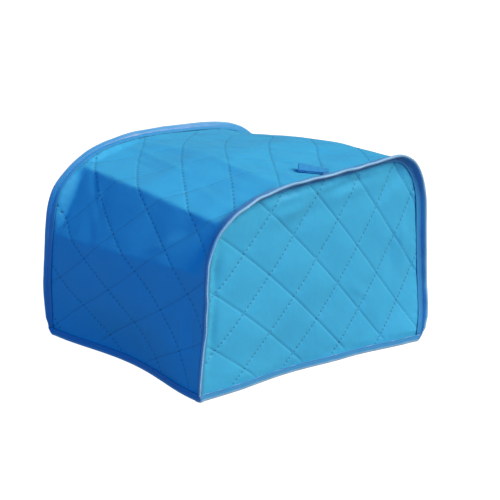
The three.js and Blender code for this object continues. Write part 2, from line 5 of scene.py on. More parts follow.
import bmesh
import bpy
import numpy as np
from mathutils import Matrix, Vector
from mathutils.geometry import delaunay_2d_cdt


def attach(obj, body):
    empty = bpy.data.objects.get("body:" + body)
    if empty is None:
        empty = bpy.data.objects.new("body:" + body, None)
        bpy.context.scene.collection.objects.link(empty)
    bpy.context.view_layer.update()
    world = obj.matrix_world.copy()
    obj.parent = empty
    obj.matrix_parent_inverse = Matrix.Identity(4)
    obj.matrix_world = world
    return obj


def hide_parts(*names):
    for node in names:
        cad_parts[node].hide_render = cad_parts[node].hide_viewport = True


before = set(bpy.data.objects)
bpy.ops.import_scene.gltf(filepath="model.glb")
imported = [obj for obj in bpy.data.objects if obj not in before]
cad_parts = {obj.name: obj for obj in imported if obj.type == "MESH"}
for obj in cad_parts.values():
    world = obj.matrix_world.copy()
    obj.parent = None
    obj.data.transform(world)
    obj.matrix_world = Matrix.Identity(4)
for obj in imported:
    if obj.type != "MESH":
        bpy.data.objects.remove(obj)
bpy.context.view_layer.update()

bl_info = {
    "name": "Quilted toaster cover",
    "version": (1, 0, 0),
    "blender": (4, 5, 0),
    "location": "3D View > Sidebar > Toaster Cover",
    "description": "Builds the cloth, tape and stitches of a quilted toaster cover",
    "category": "Object",
}

MILLIMETRE = 0.001

# Sizes shared with the solids, in millimetres
CLOTH_THICKNESS = 3.0
HALF_DEPTH = 100.0
HEM_EDGE_HEIGHT = 1.3
HEM_BAND_HEIGHT = 7.0
HEM_TAPE_THICKNESS = 1.0
HEM_SQUEEZE_OUTSIDE = 0.6
HEM_SQUEEZE_INSIDE = 2.2
HEM_SLACK = 0.45
PANEL_INSET = 3.6
SEAM_TAPE_THICKNESS = 3.0
SEAM_TAPE_PITCH = 1.4
TOP_CROWN = 6.0
ORIGIN_SHIFT = np.array([-0.0933, 2.785, 0.0])

# The gusset's outer face at the front seam and at the back seam, from the left hem over the top
# to the right hem: front x, front z, back x, back z.
FRONT_X, FRONT_Z, BACK_X, BACK_Z = range(4)
SEAM_LINES = np.array([
    [-143.0, 0.0, -146.0, 0.0],
    [-145.0, 30.0, -149.5, 30.0],
    [-145.0, 62.0, -152.5, 55.0],
    [-146.0, 92.0, -153.5, 79.0],
    [-148.0, 118.0, -153.5, 103.0],
    [-147.5, 135.0, -152.5, 124.0],
    [-144.0, 149.0, -148.0, 141.0],
    [-136.0, 160.0, -138.0, 154.0],
    [-124.5, 169.5, -124.0, 165.0],
    [-110.0, 177.0, -108.0, 173.0],
    [-94.0, 182.5, -90.0, 178.0],
    [-70.0, 186.5, -66.0, 181.5],
    [-35.0, 189.5, -32.0, 183.0],
    [5.0, 191.0, 5.0, 182.0],
    [45.0, 193.0, 42.0, 180.0],
    [74.0, 195.0, 68.0, 176.5],
    [93.0, 194.8, 86.0, 171.5],
    [107.0, 190.0, 101.0, 164.0],
    [118.0, 181.0, 114.0, 154.0],
    [127.0, 169.0, 124.0, 142.0],
    [133.5, 155.0, 131.0, 128.0],
    [138.0, 137.0, 136.0, 111.0],
    [143.0, 110.0, 140.0, 88.0],
    [148.5, 82.0, 143.5, 66.0],
    [152.5, 56.0, 146.0, 46.0],
    [154.0, 30.0, 147.5, 30.0],
    [151.0, 0.0, 145.0, 0.0],
])
LAST_STATION = len(SEAM_LINES) - 1

# How far the panels dip in near the hem, how far the front's right end flares out, and how high this reaches
PANEL_DIP_HEIGHT = 45
FRONT_DIP = 4
FRONT_CORNER_FLARE = 8.5
BACK_DIP = 5

# How the gusset's side walls swing in at the hem and swell above it
WALL_DIP_HEIGHT = 42
LEFT_DIP = 12
RIGHT_DIP = 9
WALL_SWELL = 2

# The creased left shoulder of the gusset: its stations, its line, and how it fades towards the two seams.
# It is sharper than in the solids.
CREASE_START_STATION = 4.0
CREASE_END_STATION = 11.4
CREASE_X = -128.0
CREASE_BACK_SHIFT = 3
CREASE_Z = 166.0
CREASE_FRONT_DROP = 4.0
CREASE_PLACE = 0.46
CREASE_ROUNDNESS = 0.05
CREASE_FRONT_FADE = 0.14
CREASE_BACK_FADE = 0.1

# Soft hollows, or with a negative depth soft rises: across, up, half across, half up, turn, depth.
# Some on the left wall are shallower than in the solids.
FRONT_HOLLOWS = [
    (-135, 116, 8, 30, 0, 2.4),
    (-133, 52, 9, 30, 0, 1.6),
    (-46, 166, 34, 9, 14, -1.6),
    (-22, 157, 26, 9, 18, 1.9),
    (30, 171, 30, 8, 12, -1.5),
    (40, 178, 30, 6, 4, 1.4),
    (95, 172, 22, 9, 40, 1.4),
]
GUSSET_HOLLOWS = [
    (-58, 160, 14, 6, -50, 1.5),
    (-45, 143, 14, 5, -40, -0.7),
    (52, 136, 7, 26, -8, 0.7),
    (68, 128, 6, 22, -8, -0.4),
    (-82, 60, 8, 40, 0, 1.8),
]

# Small folds that the solids leave out, in the same columns
FRONT_FOLDS = [
    (-50, 176, 24, 3.6, 9, -0.95),
    (-46, 168, 24, 4.5, 9, 0.6),
    (8, 180.5, 22, 3.2, 6, -0.8),
    (-22, 157, 26, 9, 18, -1.2),
    (-136, 121, 3.6, 11, 0, 1.4),
    (-129, 96, 4, 15, 0, -0.7),
    (-134, 67, 3.6, 15, 0, 1.3),
    (-126, 60, 5, 13, 0, -0.6),
    (118, 110, 5, 34, 10, -0.8),
    (104, 96, 6, 30, 12, 0.7),
    (64, 66, 18, 5, -30, -0.6),
]
GUSSET_FOLDS = [
    (-82, 60, 4, 16, 0, 1.4),
    (-72, 64, 4.5, 16, 0, -0.8),
    (-33, 133, 12, 3.5, -32, -0.8),
    (53, 139, 17, 3.5, 50, -0.8),
    (72, 168, 13, 3.5, 50, 1.0),
    (60, 160, 12, 3, 52, -0.6),
    (20, 90, 10, 30, 20, -0.7),
    (-20, 60, 8, 28, 14, 0.6),
    (34, 224, 40, 3.6, 9, -0.7),
    (18, 238, 36, 3.8, 6, 0.6),
    (-10, 252, 36, 4.2, 6, -0.6),
    (42, 211, 30, 3.4, 8, 0.6),
    (-45, 206, 22, 3.6, 12, -0.6),
    (-30, 290, 44, 5, -5, 0.5),
    (30, 330, 44, 5, 5, -0.5),
]

# How far a seam binding stands out and how far it leans away from the gusset: cloth length, width, lean
FRONT_SEAM_SHAPE = np.array([
    [0, 3.4, 45], [8, 3.8, 45], [18, 6.2, 48], [32, 7.6, 52], [75, 7.6, 54], [120, 8.2, 54],
    [165, 8.4, 60], [210, 8.4, 66], [270, 8.4, 68], [330, 8.4, 68], [390, 8.4, 64], [430, 8.4, 56],
    [480, 8.0, 50], [540, 7.6, 48], [588, 7.4, 46], [600, 6.0, 45], [608, 3.8, 45], [620, 3.4, 45],
], dtype=float)
BACK_SEAM_SHAPE = np.array([
    [0, 3.4, 45], [8, 3.8, 50], [18, 6.4, 60], [32, 7.6, 64], [75, 7.4, 66], [120, 7.6, 66],
    [165, 7.5, 64], [210, 7.6, 59], [270, 7.8, 51], [330, 8.2, 43], [390, 8.6, 38], [430, 8.8, 40],
    [480, 8.2, 42], [540, 7.8, 45], [588, 7.8, 45], [600, 6.4, 45], [608, 3.8, 45], [620, 3.4, 45],
], dtype=float)

# The hem binding's four walls as they turn a corner: outer, slot outer, slot inner and inner,
# each out from the gusset and ahead of the panel.
HEM_CORNER = np.array([
    [[0.8, -5.5], [-0.2, -5.5], [-2.6, -5.5], [-3.6, -5.5]],
    [[1.5, -1.8], [-0.2, -1.8], [-2.6, -4.0], [-3.6, -4.6]],
    [[3.1, 1.5], [-0.2, 0.0], [-2.6, -3.1], [-3.6, -4.0]],
    [[2.8, 2.8], [-0.2, 0.3], [-2.6, -2.6], [-3.6, -3.6]],
    [[1.5, 3.1], [-0.6, 0.3], [-3.1, -2.6], [-4.0, -3.6]],
    [[-1.8, 1.5], [-2.6, 0.3], [-4.0, -2.6], [-4.6, -3.6]],
    [[-5.5, 0.8], [-5.5, -0.2], [-5.5, -2.6], [-5.5, -3.6]],
])
# The corner's outer wall where it stands on the table, rounder than above
HEM_CORNER_FOOT = np.array([
    [0.9, -5.5], [1.8, -2.5], [1.3, -0.6], [0.5, 0.5], [-0.6, 1.3], [-2.5, 1.8], [-5.5, 0.9],
])

# Where the hem binding's straight runs begin and end along X, and how many rows each run has
HEM_BACK_RUN = (-134, 133)
HEM_FRONT_RUN = (139, -131)
HEM_PANEL_ROWS = 27
HEM_GUSSET_ROWS = 16
HEM_STEPS_PER_ROW = 5
HEM_MEASURED_RING = 40
HEM_WALL_DEPTHS = np.array([
    HEM_SQUEEZE_OUTSIDE - HEM_SLACK - HEM_TAPE_THICKNESS,
    HEM_SQUEEZE_OUTSIDE - HEM_SLACK,
    HEM_SQUEEZE_INSIDE + HEM_SLACK,
    HEM_SQUEEZE_INSIDE + HEM_SLACK + HEM_TAPE_THICKNESS,
])

# The folded tab on the top
TAB_ROOT = (2.0, -97.85)
TAB_LENGTH = 28.5
TAB_WIDTH = 9.5
TAB_TURN = 43.0
TAB_THICKNESS = 1.0
TAB_OPENING = 0.3
TAB_END_LIFT = 0.8
TAB_SIDE_LIFT = 3.6
TAB_CLEARANCE = 0.45

# Rows across the tab: how far across, and how far the outline shrinks there to round the two edges
TAB_ROWS = [
    (0.0, 0.34), (0.08, 0.16), (0.3, 0.04), (1.2, 0.0), (2.0, 0.06), (3.2, 0.0), (4.75, 0.0),
    (6.3, 0.0), (7.5, 0.06), (8.3, 0.0), (9.2, 0.04), (9.42, 0.16), (TAB_WIDTH, 0.34),
]

# Past this many reaches from its middle, a lattice strays no further
WANDER_END = 1.4
WANDER_DAMPING = 0.01
WANDER_ROUNDS = 14


class Wander:
    """How far sewn lines stray from an even lattice: powers of the flat place, fitted to measured lines."""

    def __init__(self, even, lines, middle, reach, degree, side_top=2.0, first_top=WANDER_END):
        self.middle = middle
        self.reach = reach
        self.degree = degree
        self.side_top = side_top
        self.tops = (first_top, WANDER_END)
        self.sizes = [self.fitted(even, family, which) for which, family in enumerate(lines)]

    def powers(self, across, up):
        return np.stack([across ** i * up ** j
                         for j in range(self.degree + 1) for i in range(self.degree + 1 - j)], axis=-1)

    def fitted(self, even, lines, which):
        flat = np.array([place for line in lines.values() for place in line], dtype=float)
        number = np.array([number for number, line in lines.items() for _ in line])
        powers = self.powers(flat[:, 0] / self.reach[0], (flat[:, 1] - self.middle) / self.reach[1])
        damping = WANDER_DAMPING * np.eye(powers.shape[1])
        damping[0, 0] = 0
        return np.linalg.solve(powers.T @ powers + damping, powers.T @ (number - even.places(flat)[which]))

    def at(self, flat):
        across = np.minimum(flat[..., 0] / self.reach[0], self.side_top)
        up = (flat[..., 1] - self.middle) / self.reach[1]
        return [self.powers(across, np.clip(up, -WANDER_END, top)) @ sizes
                for sizes, top in zip(self.sizes, self.tops)]


class Quilting:
    """A slanted lattice of sewn lines: steps between crossings, and stitches between them."""

    def __init__(self, origin, first, second, first_stitches, second_stitches):
        self.wander = None
        self.origin = np.array(origin, dtype=float)
        self.first = np.array(first, dtype=float)
        self.second = np.array(second, dtype=float)
        spread = self.first[0] * self.second[1] - self.first[1] * self.second[0]
        self.first_part = np.array([self.second[1], -self.second[0]]) / spread
        self.second_part = np.array([-self.first[1], self.first[0]]) / spread
        self.first_spacing = 1 / np.linalg.norm(self.first_part)
        self.second_spacing = 1 / np.linalg.norm(self.second_part)
        self.first_stitches = first_stitches
        self.second_stitches = second_stitches
        self.first_pitch = np.linalg.norm(self.first) / first_stitches

    def places(self, flat):
        """Lattice places of flat places: whole numbers lie on sewn lines."""
        away = flat - self.origin
        a = away @ self.first_part
        b = away @ self.second_part
        if self.wander:
            strayed_a, strayed_b = self.wander.at(flat)
            a = a + strayed_a
            b = b + strayed_b
        return a, b

    def flat(self, a, b):
        """Flat places of lattice places, worked out by rounds that close in on them."""
        flat = self.even_flat(a, b)
        if self.wander:
            for _ in range(WANDER_ROUNDS):
                strayed_a, strayed_b = self.wander.at(flat)
                flat = self.even_flat(a - strayed_a, b - strayed_b)
        return flat

    def even_flat(self, a, b):
        return self.origin + np.multiply.outer(a, self.first) + np.multiply.outer(b, self.second)


# Where some sewn lines run, measured in the photograph: places on the flat cloth along each numbered line.
# Towards larger across, the first set of lines falls and the second set rises.
FRONT_FIRST_LINES = {
    0: [(-140, 51), (-122, 42), (-102, 30), (-68, 10)],
    1: [(-144, 104), (-114, 85), (-61, 49), (-26, 24)],
    2: [(-133, 153), (-88, 120), (-33, 78), (31, 27)],
    3: [(-89, 182), (-31, 132), (19, 91), (86, 24)],
    4: [(-25, 185), (18, 146), (85, 84), (123, 39)],
    5: [(29, 189), (62, 160), (92, 131), (119, 104)],
}
FRONT_SECOND_LINES = {
    0: [(-135, 95), (-113, 119), (-81, 158), (-62, 181)],
    1: [(-135, 43), (-94, 76), (-51, 127), (-14, 173)],
    2: [(-82, 27), (-33, 74), (-1, 117), (38, 176)],
    3: [(-7, 32), (30, 76), (52, 118), (89, 173)],
    4: [(57, 40), (77, 68), (92, 95), (106, 123)],
}
GUSSET_FIRST_LINES = {
    -4: [(-27, 14), (-59, 35), (-91, 51)],
    -3: [(27, 19), (-5, 43), (-20, 55), (-69, 90), (-88, 105)],
    -2: [(48, 56), (5, 92), (-33, 120), (-55, 148), (-73, 173)],
    -1: [(49, 109), (22, 134), (12, 145), (1, 157), (-12, 175)],
    0: [(79, 137), (72, 145), (58, 159), (52, 172), (48, 176)],
}
GUSSET_SECOND_LINES = {
    -1: [(54, 41), (40, 31), (32, 23)],
    0: [(89, 138), (38, 97), (15, 77), (-17, 37), (-35, 20)],
    1: [(82, 174), (37, 141), (-16, 109), (-41, 77), (-72, 46)],
    2: [(64, 220), (13, 167), (-29, 144), (-62, 118), (-86, 75)],
    3: [(36, 249), (-11, 210), (-34, 186), (-43, 178), (-58, 168)],
    4: [(18, 290), (-19, 256), (-43, 238), (-70, 217)],
    5: [(9, 345), (-44, 293), (-81, 262)],
    6: [(-40, 350), (-68, 327)],
}
FRONT_QUILTING = Quilting([-158.2, 73.4], [26.5, 32.3], [33.8, -29.4], 9.5, 10)
BACK_QUILTING = Quilting([-140.0, 60.0], [26.5, 32.3], [33.8, -29.4], 9.5, 10)
GUSSET_QUILTING = Quilting([78.3, 128.4], [31.6, 25.9], [-31.9, 25.1], 9, 9)
FRONT_QUILTING.wander = Wander(
    FRONT_QUILTING, (FRONT_FIRST_LINES, FRONT_SECOND_LINES), middle=100.0, reach=(150.0, 100.0), degree=2)
GUSSET_QUILTING.wander = Wander(
    GUSSET_QUILTING, (GUSSET_FIRST_LINES, GUSSET_SECOND_LINES), middle=150.0, reach=(100.0, 150.0), degree=3,
    side_top=0.8, first_top=0.6)

# The quilting's relief, in millimetres
CLOTH_EDGE_PITCH = 1.3
STEPS_PER_STITCH = 4
HOLE_RADIUS = 0.85
DOTTED_GROOVE_WIDTH = 1.35
PLAIN_GROOVE_WIDTH = 1.15
PUFF_REACH = 15
PUCKER_HEIGHT = 0.1
PUCKER_REACH = 4
INSIDE_GROOVE_DEPTH = 0.35
INSIDE_GROOVE_WIDTH = 2.5


# Number helpers
def smooth(start, end, value):
    part = np.clip((value - start) / (end - start), 0, 1)
    return part * part * (3 - 2 * part)


def hill(value, centre, half_width):
    part = np.clip(np.abs(value - centre) / half_width, 0, 1)
    return (1 - part * part) ** 2


def waves(across, up, size, seed):
    """Soft uneven rises and dips of about one unit, each about one size long, the same on every run."""
    numbers = np.random.default_rng(seed)
    total = np.zeros_like(across, dtype=float)
    for _ in range(9):
        turn = numbers.uniform(0, math.tau)
        start = numbers.uniform(0, math.tau)
        length = size * numbers.uniform(0.7, 1.6)
        along = across * math.cos(turn) + up * math.sin(turn)
        total += np.sin(along * math.tau / length + start)
    return total / 3


def curve_between(before, start, end, after, part):
    """A smooth curve from start to end that heads on towards its neighbours."""
    bend = 2 * before - 5 * start + 4 * end - after
    twist = 3 * start - before - 3 * end + after
    return 0.5 * (2 * start + (end - before) * part + bend * part ** 2 + twist * part ** 3)


# The cover's standing shape
def seam_value(column, station):
    """A column of the seam lines at a station, which counts their rows."""
    place = np.clip(station, 0, LAST_STATION)
    index = np.minimum(np.floor(place).astype(int), LAST_STATION - 1)
    values = SEAM_LINES[:, column]
    longer = np.concatenate([[2 * values[0] - values[1]], values, [2 * values[-1] - values[-2]]])
    before, start, end, after = (longer[index + step] for step in range(4))
    return curve_between(before, start, end, after, place - index)


STATIONS = np.arange(LAST_STATION * 16 + 1) / 16
CLOTH_LENGTHS = np.concatenate([[0], np.cumsum(np.hypot(
    np.diff(seam_value(FRONT_X, STATIONS)), np.diff(seam_value(FRONT_Z, STATIONS))))])
STRIP_LENGTH = CLOTH_LENGTHS[-1]


def station_at(length):
    return np.interp(length, CLOTH_LENGTHS, STATIONS)


def length_at(station):
    return np.interp(station, STATIONS, CLOTH_LENGTHS)


def front_face_y(x, z):
    low = np.exp(-((z / PANEL_DIP_HEIGHT) ** 2))
    return -HALF_DEPTH + low * (FRONT_DIP * hill(x, -25, 75) - FRONT_CORNER_FLARE * smooth(55, 150, x))


def back_face_y(x, z):
    low = np.exp(-((z / PANEL_DIP_HEIGHT) ** 2))
    return HALF_DEPTH - low * BACK_DIP * hill(x, 10, 120)


def round_gusset_face(length, across):
    station = station_at(length)
    front_x = seam_value(FRONT_X, station)
    front_z = seam_value(FRONT_Z, station)
    back_x = seam_value(BACK_X, station)
    back_z = seam_value(BACK_Z, station)
    even = 0.5 + 0.5 * across
    eased = 0.5 * even + 0.5 * smooth(0, 1, even)
    x = front_x + (back_x - front_x) * eased
    z = front_z + (back_z - front_z) * eased
    front_y = front_face_y(front_x, front_z)
    y = front_y + (back_face_y(back_x, back_z) - front_y) * even
    arch = 1 - smooth(0, 1, np.abs(across))
    on_top = smooth(9.5, 12.5, station) * (1 - smooth(15, 20.5, station))
    z = z + TOP_CROWN * arch * on_top
    low = np.exp(-((z / WALL_DIP_HEIGHT) ** 2))
    left_side = 1 - smooth(3.5, 6.5, station)
    right_side = smooth(19.5, 22.5, station)
    x = x + left_side * (LEFT_DIP * hill(y, 3, 91) * low - WALL_SWELL * hill(z, 85, 70) * arch)
    x = x - right_side * (RIGHT_DIP * hill(y, 0, 92) * low - WALL_SWELL * hill(z, 95, 70) * arch)
    return np.stack([x, y, z], axis=-1)


def soft_ramp(part):
    bend = np.clip((part - CREASE_PLACE + CREASE_ROUNDNESS / 2) / CREASE_ROUNDNESS, 0, 1)
    straight = np.maximum(0, part - CREASE_PLACE - CREASE_ROUNDNESS / 2)
    return CREASE_ROUNDNESS * (bend ** 3 - bend ** 4 / 2) + straight


def gusset_face(length, across):
    length, across = np.broadcast_arrays(np.asarray(length, float), np.asarray(across, float))
    point = round_gusset_face(length, across)
    start = length_at(CREASE_START_STATION)
    end = length_at(CREASE_END_STATION)
    lower = round_gusset_face(np.full_like(length, start), across)
    upper = round_gusset_face(np.full_like(length, end), across)
    crease_x = CREASE_X + CREASE_BACK_SHIFT * smooth(0, 1, across)
    crease_z = CREASE_Z - CREASE_FRONT_DROP * smooth(0.2, -0.8, across)
    whole = np.clip((length - start) / (end - start), 0, 1)
    ramp = soft_ramp(whole)
    whole_ramp = soft_ramp(1.0)
    upper_part = ramp / whole_ramp
    lower_part = (whole - ramp) / (1 - whole_ramp)
    creased = np.stack([
        lower[..., 0] + (crease_x - lower[..., 0]) * lower_part + (upper[..., 0] - crease_x) * upper_part,
        point[..., 1],
        lower[..., 2] + (crease_z - lower[..., 2]) * lower_part + (upper[..., 2] - crease_z) * upper_part,
    ], axis=-1)
    fade = CREASE_FRONT_FADE + (CREASE_BACK_FADE - CREASE_FRONT_FADE) * smooth(-0.5, 0.5, across)
    share = smooth(0, 1, (1 - np.abs(across)) / fade)
    share = np.where((length > start) & (length < end), share, 0)
    return point + (creased - point) * share[..., None]


def unit(vectors):
    return vectors / np.linalg.norm(vectors, axis=-1, keepdims=True)


def gusset_normal(length, across):
    step = 0.6
    along = gusset_face(np.minimum(length + step, STRIP_LENGTH), across) - gusset_face(
        np.maximum(length - step, 0), across)
    side = gusset_face(length, np.minimum(across + 0.01, 1)) - gusset_face(
        length, np.maximum(across - 0.01, -1))
    return unit(np.cross(along, side))


def hollow_depth(rows, across, up, edge_distance):
    depth = np.zeros_like(across, dtype=float)
    for middle_across, middle_up, half_across, half_up, turn, row_depth in rows:
        angle = math.radians(turn)
        away_across = across - middle_across
        away_up = up - middle_up
        first = (away_across * math.cos(angle) + away_up * math.sin(angle)) / half_across
        second = (away_up * math.cos(angle) - away_across * math.sin(angle)) / half_up
        depth = depth + row_depth * np.exp(-(first ** 2) - second ** 2)
    return depth * smooth(0, 9, edge_distance)


def panel_outline(x_column, z_column, step):
    """The panel's edge just inside the gusset, from the left hem over the top to the right hem."""
    station = np.arange(0, LAST_STATION + step / 2, step)
    dx = seam_value(x_column, station + 0.05) - seam_value(x_column, station - 0.05)
    dz = seam_value(z_column, station + 0.05) - seam_value(z_column, station - 0.05)
    size = np.hypot(dx, dz)
    x = seam_value(x_column, station) + dz / size * PANEL_INSET
    z = seam_value(z_column, station) - dx / size * PANEL_INSET
    return np.stack([x, z], axis=-1)


def above_level(outline, level):
    """The outline with its two feet cut off at a height."""
    above = outline[:, 1] > level
    first = int(np.argmax(above))
    last = len(above) - 1 - int(np.argmax(above[::-1]))

    def crossing(low, high):
        part = (level - low[1]) / (high[1] - low[1])
        return [low[0] + (high[0] - low[0]) * part, level]

    start = crossing(outline[first - 1], outline[first])
    end = crossing(outline[last + 1], outline[last])
    return np.array([start, *outline[first:last + 1], end])


def line_distance(points, line):
    """Each point's distance from an open line of points."""
    least = np.full(len(points), np.inf)
    for start, end in zip(line[:-1], line[1:]):
        step = end - start
        part = np.clip(((points - start) @ step) / (step @ step), 0, 1)
        away = np.linalg.norm(points - start - part[:, None] * step, axis=1)
        least = np.minimum(least, away)
    return least


def run_lengths(points):
    """How far along a run of points each point is."""
    return np.concatenate([[0], np.cumsum(np.linalg.norm(np.diff(points, axis=0), axis=1))])


def evenly(line, pitch):
    """The same line with points about one pitch apart."""
    lengths = run_lengths(line)
    count = max(2, int(round(lengths[-1] / pitch)) + 1)
    places = np.linspace(0, lengths[-1], count)
    return np.stack([np.interp(places, lengths, line[:, axis]) for axis in range(line.shape[1])], axis=-1)


# Quilted cloth
def whole_distance(value, spacing):
    return np.abs(value - np.round(value)) * spacing


def quilted_height(settings, quilting, flat, second_strength):
    """How far the cloth's outer face stands above its standing shape: puffed between the lines."""
    a, b = quilting.places(flat)
    from_first_line = whole_distance(b, quilting.second_spacing)
    from_second_line = whole_distance(a, quilting.first_spacing)
    dotted = settings.dotted_groove_mm * np.exp(-((from_first_line / DOTTED_GROOVE_WIDTH) ** 2))
    plain = settings.groove_depth_mm * second_strength
    plain = plain * np.exp(-((from_second_line / PLAIN_GROOVE_WIDTH) ** 2))
    near = np.minimum(from_first_line, from_second_line + 6 * (1 - second_strength))
    pillow = settings.puff_mm * (1 - smooth(0, PUFF_REACH, near))
    along = whole_distance(a * quilting.first_stitches, quilting.first_pitch)
    from_hole = (from_first_line / HOLE_RADIUS) ** 2 + (along / HOLE_RADIUS) ** 2
    hole = settings.hole_depth_mm * np.exp(-from_hole)
    stitch_wave = np.cos(a * quilting.first_stitches * math.tau / 2)
    pucker = PUCKER_HEIGHT * stitch_wave * np.exp(-((from_first_line / PUCKER_REACH) ** 2))
    return pucker - np.maximum(dotted, plain) - pillow - hole


def lattice_places(low, high, fractions):
    whole = np.arange(math.floor(low) - 1, math.ceil(high) + 2)
    return np.add.outer(whole, fractions).ravel()


def near_line_fractions(spacing):
    """Places across a quilted diamond, closest together near its sewn lines."""
    away = np.array([0.5, 1.1, 1.9, 3.0, 4.6, 6.8, 9.6, 13.0, 17.0]) / spacing
    return np.sort(np.concatenate([[0, 0.5], away, 1 - away]))


def stitch_fractions(stitches, spacing):
    """Places along a quilted diamond, four to a stitch, with one more beside each crossing line."""
    steps = int(round(stitches * STEPS_PER_STITCH))
    beside = 0.5 / spacing
    return np.sort(np.concatenate([np.arange(steps) / steps, [beside, 1 - beside]]))


def inside_loop(points, edge_loop):
    inside = np.zeros(len(points), dtype=bool)
    for start, end in zip(edge_loop, np.roll(edge_loop, -1, axis=0)):
        if start[1] == end[1]:
            continue
        spans = (start[1] > points[:, 1]) != (end[1] > points[:, 1])
        crossing = start[0] + (points[:, 1] - start[1]) * (end[0] - start[0]) / (end[1] - start[1])
        inside ^= spans & (points[:, 0] < crossing)
    return inside


def points_inside(quilting, first_fractions, second_fractions, edge_loop, keep_away):
    a, b = quilting.places(edge_loop)
    first_places = lattice_places(a.min(), a.max(), first_fractions)
    second_places = lattice_places(b.min(), b.max(), second_fractions)
    grid = np.array(np.meshgrid(first_places, second_places, indexing="ij")).reshape(2, -1)
    points = quilting.flat(grid[0], grid[1])
    low = edge_loop.min(axis=0) + keep_away
    high = edge_loop.max(axis=0) - keep_away
    points = points[np.all((points > low) & (points < high), axis=1)]
    points = points[inside_loop(points, edge_loop)]
    closed = np.vstack([edge_loop, edge_loop[:1]])
    return points[line_distance(points, closed) > keep_away]


def triangulated(edge_loop, points):
    """Triangles that fill the loop through the points, and the loop's own places among them."""
    everything = np.vstack([edge_loop, points])
    count = len(edge_loop)
    coordinates = [Vector(point) for point in everything.tolist()]
    made = delaunay_2d_cdt(coordinates, [], [list(range(count))], 1, 1e-5)
    flat = np.array([tuple(point) for point in made[0]])
    where = {}
    for place, sources in enumerate(made[3]):
        for source in sources:
            where[source] = place
    rim = [where[index] for index in range(count)]
    return flat, [tuple(face) for face in made[2]], rim


def joined_sheet(name, quilting, outer, outer_faces, outer_rim, outer_flat,
                 inner, inner_faces, inner_rim, inner_flat):
    """A closed sheet from an outer and an inner face with the same number of points round the rim."""
    shift = len(outer)
    faces = list(outer_faces)
    faces += [tuple(shift + corner for corner in reversed(face)) for face in inner_faces]
    count = len(outer_rim)
    for index in range(count):
        following = (index + 1) % count
        faces.append((outer_rim[following], outer_rim[index],
                      shift + inner_rim[index], shift + inner_rim[following]))
    flat = np.vstack([outer_flat, inner_flat])
    lattice = np.stack(quilting.places(flat), axis=-1)
    return mesh_piece(name, np.vstack([outer, inner]), faces, flat, lattice)


def add_object(name, data):
    item = bpy.data.objects.new(name, data)
    bpy.context.scene.collection.objects.link(item)
    return item


def mesh_piece(name, points, faces, flat=None, lattice=None, loop_flat=None, folds=None, sharp_angle=50):
    """A Blender object from points in millimetres, its faces turned outwards, with its flat cloth places."""
    mesh = bpy.data.meshes.new(name)
    mesh.from_pydata(((points + ORIGIN_SHIFT) * MILLIMETRE).tolist(), [], faces)
    if flat is not None:
        corners = np.empty(len(mesh.loops), dtype=np.int32)
        mesh.loops.foreach_get("vertex_index", corners)
        loop_flat = flat[corners]
        sewn = mesh.uv_layers.new(name="lattice")
        sewn.data.foreach_set("uv", lattice[corners].astype(np.float32).ravel())
    if loop_flat is not None:
        layer = mesh.uv_layers.new(name="cloth")
        layer.data.foreach_set("uv", (np.asarray(loop_flat) * MILLIMETRE).astype(np.float32).ravel())
    if folds is not None:
        attribute = mesh.attributes.new("fold", "FLOAT", "POINT")
        attribute.data.foreach_set("value", np.asarray(folds, dtype=np.float32))
    work = bmesh.new()
    work.from_mesh(mesh)
    bmesh.ops.recalc_face_normals(work, faces=work.faces)
    work.to_mesh(mesh)
    work.free()
    mesh.polygons.foreach_set("use_smooth", np.ones(len(mesh.polygons), dtype=bool))
    mesh.set_sharp_from_angle(angle=math.radians(sharp_angle))
    mesh.update()
    return add_object(name, mesh)


def hem_taper(height, squeezed, above_hem):
    """The cloth thins smoothly where it goes down into the hem binding."""
    share = smooth(HEM_BAND_HEIGHT - 0.4, HEM_BAND_HEIGHT + 6, above_hem)
    return squeezed + (height - squeezed) * share


class PanelCloth:
    """The front or the back panel: its outline, its quilting and where its flat cloth stands."""

    def __init__(self, x_column, z_column, quilting, face, side, hollows, seed):
        self.quilting = quilting
        self.face = face
        self.side = side
        self.hollows = hollows
        self.seed = seed
        self.seam_edge = above_level(panel_outline(x_column, z_column, 0.5), HEM_BAND_HEIGHT + 0.6)
        self.edge = above_level(panel_outline(x_column, z_column, 0.125), HEM_EDGE_HEIGHT)

    def hem_distance(self, flat):
        return flat[:, 1]

    def loop(self, pitch):
        around = evenly(self.edge, pitch)
        below = evenly(np.array([around[-1], around[0]]), pitch)
        return np.vstack([around, below[1:-1]])

    def outer_height(self, settings, flat):
        edge_distance = line_distance(flat, self.edge)
        height = quilted_height(settings, self.quilting, flat, 1.0)
        height = height + settings.unevenness_mm * waves(flat[:, 0], flat[:, 1], 46, self.seed)
        gathers = waves(flat[:, 0] * 3, flat[:, 1] * 3, 26, self.seed + 1)
        height = height + 0.28 * gathers * np.exp(-((edge_distance / 7) ** 2))
        height = height * (0.45 + 0.55 * smooth(0, 5, edge_distance))
        return hem_taper(height, -HEM_SQUEEZE_OUTSIDE, self.hem_distance(flat))

    def inner_height(self, flat):
        a, b = self.quilting.places(flat)
        near = np.minimum(whole_distance(a, self.quilting.first_spacing),
                          whole_distance(b, self.quilting.second_spacing))
        height = -CLOTH_THICKNESS + INSIDE_GROOVE_DEPTH * np.exp(-((near / INSIDE_GROOVE_WIDTH) ** 2))
        return hem_taper(height, -HEM_SQUEEZE_INSIDE, self.hem_distance(flat))

    def place(self, flat, height):
        x = flat[:, 0]
        z = flat[:, 1]
        hem_distance = z - HEM_BAND_HEIGHT - 1
        edge_distance = np.minimum(line_distance(flat, self.seam_edge), hem_distance)
        out = height - hollow_depth(self.hollows, x, z, edge_distance)
        return np.stack([x, self.face(x, z) + self.side * out, z], axis=-1)


